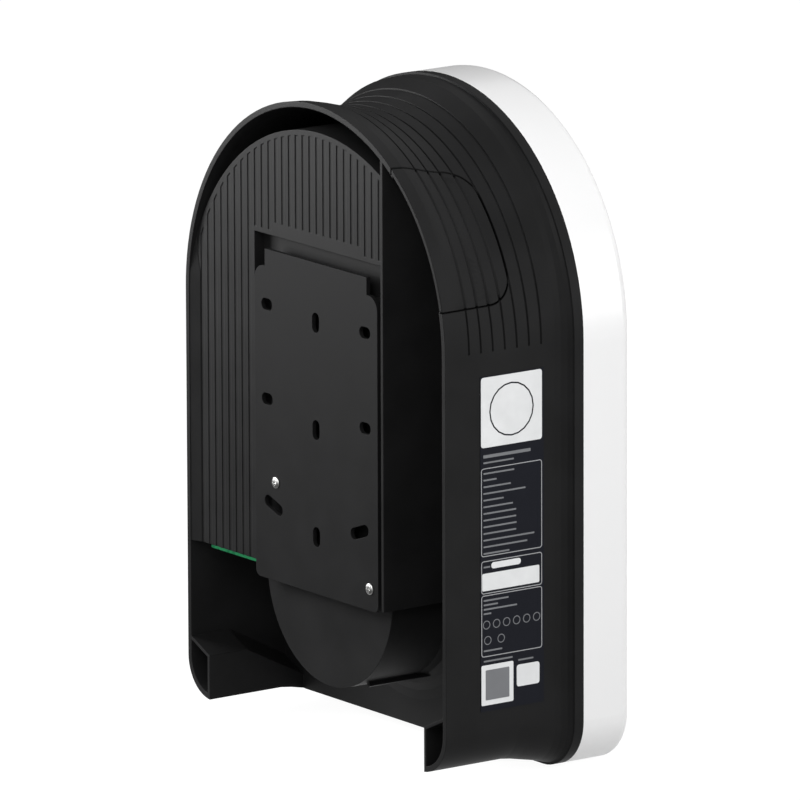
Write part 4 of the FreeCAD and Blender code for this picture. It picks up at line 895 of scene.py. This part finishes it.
@dataclass
class RatingLabel:
    """The film on the side, with plain shapes where the print is."""

    black: bpy.types.Material
    pale: bpy.types.Material
    grey: bpy.types.Material
    line_ink: bpy.types.Material
    print_height: float = 0.06 * MM
    line: float = 0.45 * MM
    bold: float = 0.8 * MM
    pale_fields: tuple[Mark, ...] = (
        Mark(20.4, 19.6, 40.0, 38.0),
        Mark(16.7, 103.0, 19.4, 3.4),
        Mark(19.8, 111.6, 37.6, 9.5, corner=0.8),
        Mark(10.9, 167.8, 21.0, 21.9, corner=0.8),
        Mark(31.1, 165.5, 15.0, 11.9, corner=1.5),
    )
    grey_fields: tuple[Mark, ...] = (Mark(10.9, 167.8, 15.6, 16.4, corner=0.5),)
    frames: tuple[Mark, ...] = (
        Mark(20.4, 73.7, 40.0, 48.0),
        Mark(20.4, 109.0, 40.0, 17.9),
        Mark(20.4, 135.5, 40.0, 33.6),
    )
    dark_rings: tuple[RingRow, ...] = (RingRow(20.4, 19.6, 14.6),)
    grey_rings: tuple[RingRow, ...] = (
        RingRow(3.8, 134.9, 2.4, count=6, pitch=6.6),
        RingRow(4.6, 143.4, 2.4, count=2, pitch=8.8),
    )
    bars: tuple[BarRows, ...] = (
        BarRows(52.6, (20.3, 8.7, 18.0, 27.6, 13.3, 19.4, 21.5, 21.5, 21.7, 21.5, 33.4, 28.8,
                       17.0), pitch=3.62),
        BarRows(121.6, (16.4, 9.4, 22.0, 5.0), pitch=2.4),
        BarRows(43.4, (31.0,), thick=1.7),
        BarRows(46.8, (20.0,)),
        BarRows(103.4, (4.4,)),
        BarRows(149.0, (12.2,)),
        BarRows(154.7, (19.0,)),
        BarRows(157.0, (10.0,), left=24.6),
    )

    def build(self) -> None:
        """Print every layer; those on top of a field stand twice as high."""
        low, high = self.print_height, 2 * self.print_height
        self.fill("label_fields_pale", self.pale, self.pale_fields, low)
        self.trace("label_frames", self.line_ink, self.frames, low, self.line)
        self.fill("label_field_grey", self.grey, self.grey_fields, high)
        self.trace("label_ring_dark", self.black, self.spread(self.dark_rings), high, self.bold)
        self.trace("label_rings_grey", self.grey, self.spread(self.grey_rings), low, self.line)
        self.fill("label_bars", self.grey, self.spread(self.bars), low)

    @staticmethod
    def spread(rows: Iterable[Union[RingRow, BarRows]]) -> list[Mark]:
        """Take rows apart.

        Args:
            rows: Rows of rings or bars.

        Returns:
            All their marks.
        """
        return [mark for row in rows for mark in row.marks()]

    def outline(self, mark: Mark, inset: float = 0.0) -> list[Vector]:
        """Lay a mark's outline on the film, whose place is read from its solid.

        Args:
            mark: The mark.
            inset: How far the outline is drawn in, in metres.

        Returns:
            The outline's points.
        """
        low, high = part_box("rating_label")
        points = Maker.rounded_outline(mark.width * MM - 2 * inset, mark.height * MM - 2 * inset,
                                       mark.corner * MM - inset)
        return [Vector((low.x, high.y - mark.across * MM + x, high.z - mark.down * MM + z))
                for x, z in points]

    def fill(self, name: str, ink: bpy.types.Material, marks: Iterable[Mark],
             height: float) -> None:
        """Print filled marks as one piece.

        Args:
            name: The piece's name.
            ink: Its finish.
            marks: The marks.
            height: How far they stand off the film, in metres.
        """
        mesh = bmesh.new()
        for mark in marks:
            Maker.prism(mesh, self.outline(mark), Vector((-height, 0.0, 0.0)))
        Maker.piece(name, mesh, ink, Body.UNIT, Slot.LABEL)

    def trace(self, name: str, ink: bpy.types.Material, marks: Iterable[Mark], height: float,
              line: float) -> None:
        """Print the borders of marks as one piece.

        Args:
            name: The piece's name.
            ink: Its finish.
            marks: The marks.
            height: How far they stand off the film, in metres.
            line: The border's width.
        """
        mesh = bmesh.new()
        for mark in marks:
            Maker.ring_prism(mesh, self.outline(mark), self.outline(mark, line),
                             Vector((-height, 0.0, 0.0)))
        Maker.piece(name, mesh, ink, Body.UNIT, Slot.LABEL)


@dataclass
class PanelSlope:
    """The band that slopes from the ribbed panel up to the rim on the +X side.

    Its section has three corners. It follows the inside of the wall, upright and then round the
    arch, and tapers to a sliver where the arch's opening begins.
    """

    plastic: bpy.types.Material
    wall: float = 3.0 * MM
    rim_half: float = 119.0 * MM
    panel_depth: float = 3.0 * MM
    step: float = 0.25 * MM
    width: float = 7.0 * MM
    sunk: float = 0.05 * MM
    bottom: float = -117.1 * MM
    spring: float = 23.9 * MM
    taper_start: float = 32.0 * MM
    top: float = 52.0 * MM
    sliver: float = 0.05
    steps: int = 10

    def section(self, height: float) -> list[Point]:
        """Return the band's corners at one height.

        Args:
            height: The height in metres.

        Returns:
            The corner at the rim, the one at the wall's foot and the one on the panel.
        """
        above = max(height - self.spring, 0.0)
        inner = math.sqrt((self.rim_half - self.wall) ** 2 - above ** 2)
        full = min((self.top - height) / (self.top - self.taper_start), 1.0)
        share = full * (1 - self.sliver) + self.sliver
        lift = (self.panel_depth - self.step) * share
        foot = -self.panel_depth - self.sunk
        return [(inner, lift - self.panel_depth, height), (inner, foot, height),
                (inner - self.width * share, foot, height)]

    def build(self) -> None:
        """Loft the band from section to section."""
        rise = (self.top - self.spring) / self.steps
        heights = [self.bottom] + [self.spring + rise * step for step in range(self.steps + 1)]
        mesh = bmesh.new()
        rows = [[mesh.verts.new(corner) for corner in self.section(height)]
                for height in heights]
        count = len(rows[0])
        for low, high in zip(rows, rows[1:]):
            for index in range(count):
                after = (index + 1) % count
                mesh.faces.new([low[index], low[after], high[after], high[index]])
        mesh.faces.new(list(reversed(rows[0])))
        mesh.faces.new(rows[-1])
        Maker.piece("panel_slope", mesh, self.plastic, Body.UNIT, Slot.HOUSING)


@dataclass
class RoundedDoor:
    """The side access cover with the small round that the mould leaves on its edges."""

    plastic: bpy.types.Material
    node: str = "side_access_cover"
    weld: float = 0.001 * MM
    flat_angle: float = 0.5
    sharp_angle: float = 50.0
    round_size: float = 0.45 * MM
    round_steps: int = 2

    def build(self) -> None:
        """Copy the solid, round its sharp edges and let the copy stand for the node."""
        mesh = Maker.welded(self.node, self.weld)
        bmesh.ops.dissolve_limit(mesh, angle_limit=math.radians(self.flat_angle),
                                 verts=mesh.verts, edges=mesh.edges)
        made = Maker.piece("side_access_cover_rounded", mesh, self.plastic, Body.ACCESS_COVER,
                           Slot.HOUSING)
        rounding = made.modifiers.new("rounding", "BEVEL")
        rounding.width = self.round_size
        rounding.segments = self.round_steps
        rounding.limit_method = "ANGLE"
        rounding.angle_limit = math.radians(self.sharp_angle)
        rounding.use_clamp_overlap = False
        Maker.settle(made, rounding, self.plastic)
        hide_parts(self.node)


@dataclass
class BracketScrews:
    """The two low-headed screws of the bracket, with a cross recess in each head."""

    metal: bpy.types.Material
    node: str = "bracket_screws"
    weld: float = 0.0001 * MM
    arm_width: float = 0.55 * MM
    arm_span: float = 3.0 * MM
    recess_depth: float = 0.8 * MM
    overrun: float = 1.0 * MM

    def crowns(self) -> list[Vector]:
        """Return the middle of each head's crown, found from the solids' own points."""
        points = [vertex.co.copy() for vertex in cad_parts[self.node].data.vertices]
        middle = (max(point.z for point in points) + min(point.z for point in points)) / 2
        crowns = []
        for group in ([point for point in points if point.z > middle],
                      [point for point in points if point.z <= middle]):
            across = (max(point.x for point in group) + min(point.x for point in group)) / 2
            up = (max(point.z for point in group) + min(point.z for point in group)) / 2
            crowns.append(Vector((across, max(point.y for point in group), up)))
        return crowns

    def cross(self, crown: Vector) -> list[Vector]:
        """Draw the foot of one recess.

        Args:
            crown: The middle of the head's crown.

        Returns:
            The points of a cross under it.
        """
        base = crown - Vector((0.0, self.recess_depth, 0.0))
        half, arm = self.arm_span / 2, self.arm_width / 2
        turns = [Matrix.Rotation(math.pi / 2 * quarter, 3, "Y") for quarter in range(4)]
        return [base + turn @ Vector((x, 0.0, -z))
                for turn in turns
                for x, z in ((half, arm), (arm, arm), (arm, half))]

    def cutter(self) -> bpy.types.Object:
        """Return one object with a cross standing in each head."""
        mesh = bmesh.new()
        for crown in self.crowns():
            Maker.prism(mesh, self.cross(crown),
                        Vector((0.0, self.recess_depth + self.overrun, 0.0)))
        bmesh.ops.recalc_face_normals(mesh, faces=mesh.faces)
        data = bpy.data.meshes.new("recess_cutter")
        mesh.to_mesh(data)
        mesh.free()
        cutter = bpy.data.objects.new("recess_cutter", data)
        bpy.context.scene.collection.objects.link(cutter)
        return cutter

    def build(self) -> None:
        """Copy the solids, cut the recesses and let the copy stand for the node."""
        made = Maker.piece("bracket_screws_crossed", Maker.welded(self.node, self.weld),
                           self.metal, Body.UNIT, Slot.ZINC)
        cutter = self.cutter()
        cut = made.modifiers.new("recess", "BOOLEAN")
        cut.operation = "DIFFERENCE"
        cut.solver = "EXACT"
        cut.object = cutter
        Maker.settle(made, cut, self.metal)
        bpy.data.objects.remove(cutter)
        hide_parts(self.node)


# Studio


@dataclass
class Surround:
    """The white background and the pale floor."""

    soft_light: float = 0.4
    shown_light: float = 1.0
    floor_half: float = 30.0
    floor_gap: float = 0.5 * MM
    floor_colour: Colour = (0.6, 0.6, 0.6)
    floor_glow: float = 1.2
    floor_share: float = 0.8

    def build(self) -> None:
        """Set up the background and the floor, and show colours as they are written."""
        bpy.context.scene.view_settings.view_transform = "Standard"
        self.background()
        self.floor()

    def background(self) -> None:
        """Surround the unit with what shows as white and lights it softly."""
        graph = Graph(bpy.data.worlds.new("surround"))
        soft, shown = (
            graph.signal("ShaderNodeBackground", inputs={"Color": WHITE, "Strength": level})
            for level in (self.soft_light, self.shown_light)
        )
        bpy.context.scene.world = graph.close(graph.either(graph.shows_background(), soft, shown))

    def floor(self) -> None:
        """Lay a plain floor just under the unit, which keeps a trace of its shadow."""
        low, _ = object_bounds()
        mesh = bmesh.new()
        bmesh.ops.create_grid(mesh, x_segments=1, y_segments=1, size=self.floor_half)
        data = bpy.data.meshes.new("floor")
        mesh.to_mesh(data)
        mesh.free()
        floor = bpy.data.objects.new("floor", data)
        floor.location = (0.0, 0.0, low[2] - self.floor_gap)
        bpy.context.scene.collection.objects.link(floor)
        graph = Graph(bpy.data.materials.new("floor_pale"))
        matt = graph.signal("ShaderNodeBsdfDiffuse", inputs={"Color": self.floor_colour})
        glow = graph.signal("ShaderNodeEmission", inputs={"Color": WHITE,
                                                          "Strength": self.floor_glow})
        share = graph.shows_background() * self.floor_share
        data.materials.append(graph.close(graph.either(share, matt, glow)))
        floor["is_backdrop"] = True


@dataclass(frozen=True)
class Lamp:
    """One square lamp that the camera doesn't see, turned to the unit's middle line.

    Its lengths are in metres and its power is in watts.
    """

    name: str
    place: Point
    side: float
    power: float
    aim_height: float = 0.0

    def build(self) -> None:
        """Hang the lamp."""
        light = bpy.data.lights.new(self.name, "AREA")
        light.shape = "SQUARE"
        light.size = self.side
        light.energy = self.power
        lamp = bpy.data.objects.new(self.name, light)
        lamp.location = self.place
        way = Vector((0.0, 0.0, self.aim_height)) - Vector(self.place)
        lamp.rotation_euler = way.to_track_quat("-Z", "Y").to_euler()
        lamp.visible_camera = False
        bpy.context.scene.collection.objects.link(lamp)


@dataclass
class Lamps:
    """Two large soft lamps on the left, one in front and three small ones round the back."""

    lamps: tuple[Lamp, ...] = (
        Lamp("lamp_left", (-2.0, -1.2, 0.5), side=1.2, power=18.7),
        Lamp("lamp_rear_left", (-1.0, 1.2, 0.9), side=0.8, power=11.3),
        Lamp("lamp_front", (-0.6, -2.4, 1.2), side=1.6, power=6.8),
        Lamp("lamp_rear_right", (0.5, 0.35, 0.22), side=0.3, power=5.2, aim_height=0.05),
        Lamp("lamp_rear_low", (0.6, 0.45, 0.1), side=0.4, power=3.5),
        Lamp("lamp_over", (-0.25, 0.2, 0.4), side=0.3, power=0.6, aim_height=0.1),
    )

    def build(self) -> None:
        """Hang every lamp."""
        for lamp in self.lamps:
            lamp.build()


@dataclass
class DarkCards:
    """Two dark cards that only reflections show, as places and lengths in metres.

    One lies on the floor behind the unit and one stands on its +X side.
    """

    lying_left: float = -0.3
    lying_front: float = 0.03
    standing_side: float = 1.0
    standing_front: float = -1.4
    standing_top: float = 0.9
    far: float = 1.6
    lift: float = 1.5 * MM
    colour: Colour = (0.02, 0.02, 0.02)

    def build(self) -> None:
        """Set up both cards."""
        low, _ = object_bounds()
        ground = low[2] + self.lift
        left, front, far = self.lying_left, self.lying_front, self.far
        side, top, fore = self.standing_side, self.standing_top, self.standing_front
        self.card("card_lying", [(left, front, ground), (far, front, ground), (far, far, ground),
                                 (left, far, ground)])
        self.card("card_standing", [(side, fore, ground), (side, far, ground), (side, far, top),
                                    (side, fore, top)])

    def card(self, name: str, corners: list[Point]) -> None:
        """Set up one card.

        Args:
            name: Its name.
            corners: Its corners.
        """
        data = bpy.data.meshes.new(name)
        data.from_pydata(corners, [], [tuple(range(len(corners)))])
        graph = Graph(bpy.data.materials.new(name))
        data.materials.append(graph.close(
            graph.signal("ShaderNodeBsdfDiffuse", inputs={"Color": self.colour})))
        card = bpy.data.objects.new(name, data)
        bpy.context.scene.collection.objects.link(card)
        card.visible_camera = False
        card.visible_diffuse = False
        card.visible_shadow = False
        card.visible_transmission = False
        card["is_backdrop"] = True


@dataclass
class PhotoCamera:
    """The camera at the photograph's viewing angle.

    Angles are in degrees, the distance is in metres and the places are in millimetres.
    """

    azimuth: float = 234.12257
    elevation: float = 12.61774
    roll: float = -0.198
    distance: float = 6.89998
    aim: Point = (0.0, -60.0, -36.77)
    centre_shift: Place = (-2.736, 10.097)
    focal_pixels: float = 12848.0
    image_pixels: float = 800.0
    sensor: float = 36.0
    sight: float = 100.0

    def build(self) -> None:
        """Place the camera."""
        turn, rise = math.radians(self.azimuth), math.radians(self.elevation)
        back = Vector((math.sin(turn) * math.cos(rise), -math.cos(turn) * math.cos(rise),
                       math.sin(rise)))
        right = Vector((math.cos(turn), math.sin(turn), 0.0))
        up = back.cross(right)
        centre = Vector(self.aim) * MM
        centre = centre + right * self.centre_shift[0] * MM + up * self.centre_shift[1] * MM
        basis = Matrix((right, up, back)).transposed()
        spin = Matrix.Rotation(math.radians(self.roll), 3, "Z")
        data = bpy.data.cameras.new("camera")
        data.sensor_width = self.sensor
        data.lens = self.focal_pixels / self.image_pixels * self.sensor
        data.clip_end = self.sight
        camera = bpy.data.objects.new("camera", data)
        place = Matrix.Translation(centre + back * self.distance)
        camera.matrix_world = place @ (basis @ spin).to_4x4()
        bpy.context.scene.collection.objects.link(camera)
        bpy.context.scene.camera = camera


def main() -> None:
    """Build the looks part by part."""
    logging.basicConfig(level=logging.INFO, format="%(message)s")
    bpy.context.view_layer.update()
    kit = Palette()
    made = kit.materials()
    parts = (
        CarriedNodes(kit, made),
        RatingLabel(made[kit.film], made[kit.pale_ink], made[kit.grey_ink], made[kit.line_ink]),
        PanelSlope(made[kit.housing]),
        RoundedDoor(made[kit.housing]),
        BracketScrews(made[kit.zinc]),
        Surround(),
        Lamps(),
        DarkCards(),
        PhotoCamera(),
    )
    for part in parts:
        part.build()
        LOG.info("built %s", type(part).__name__)


if __name__ == "__main__":
    main()
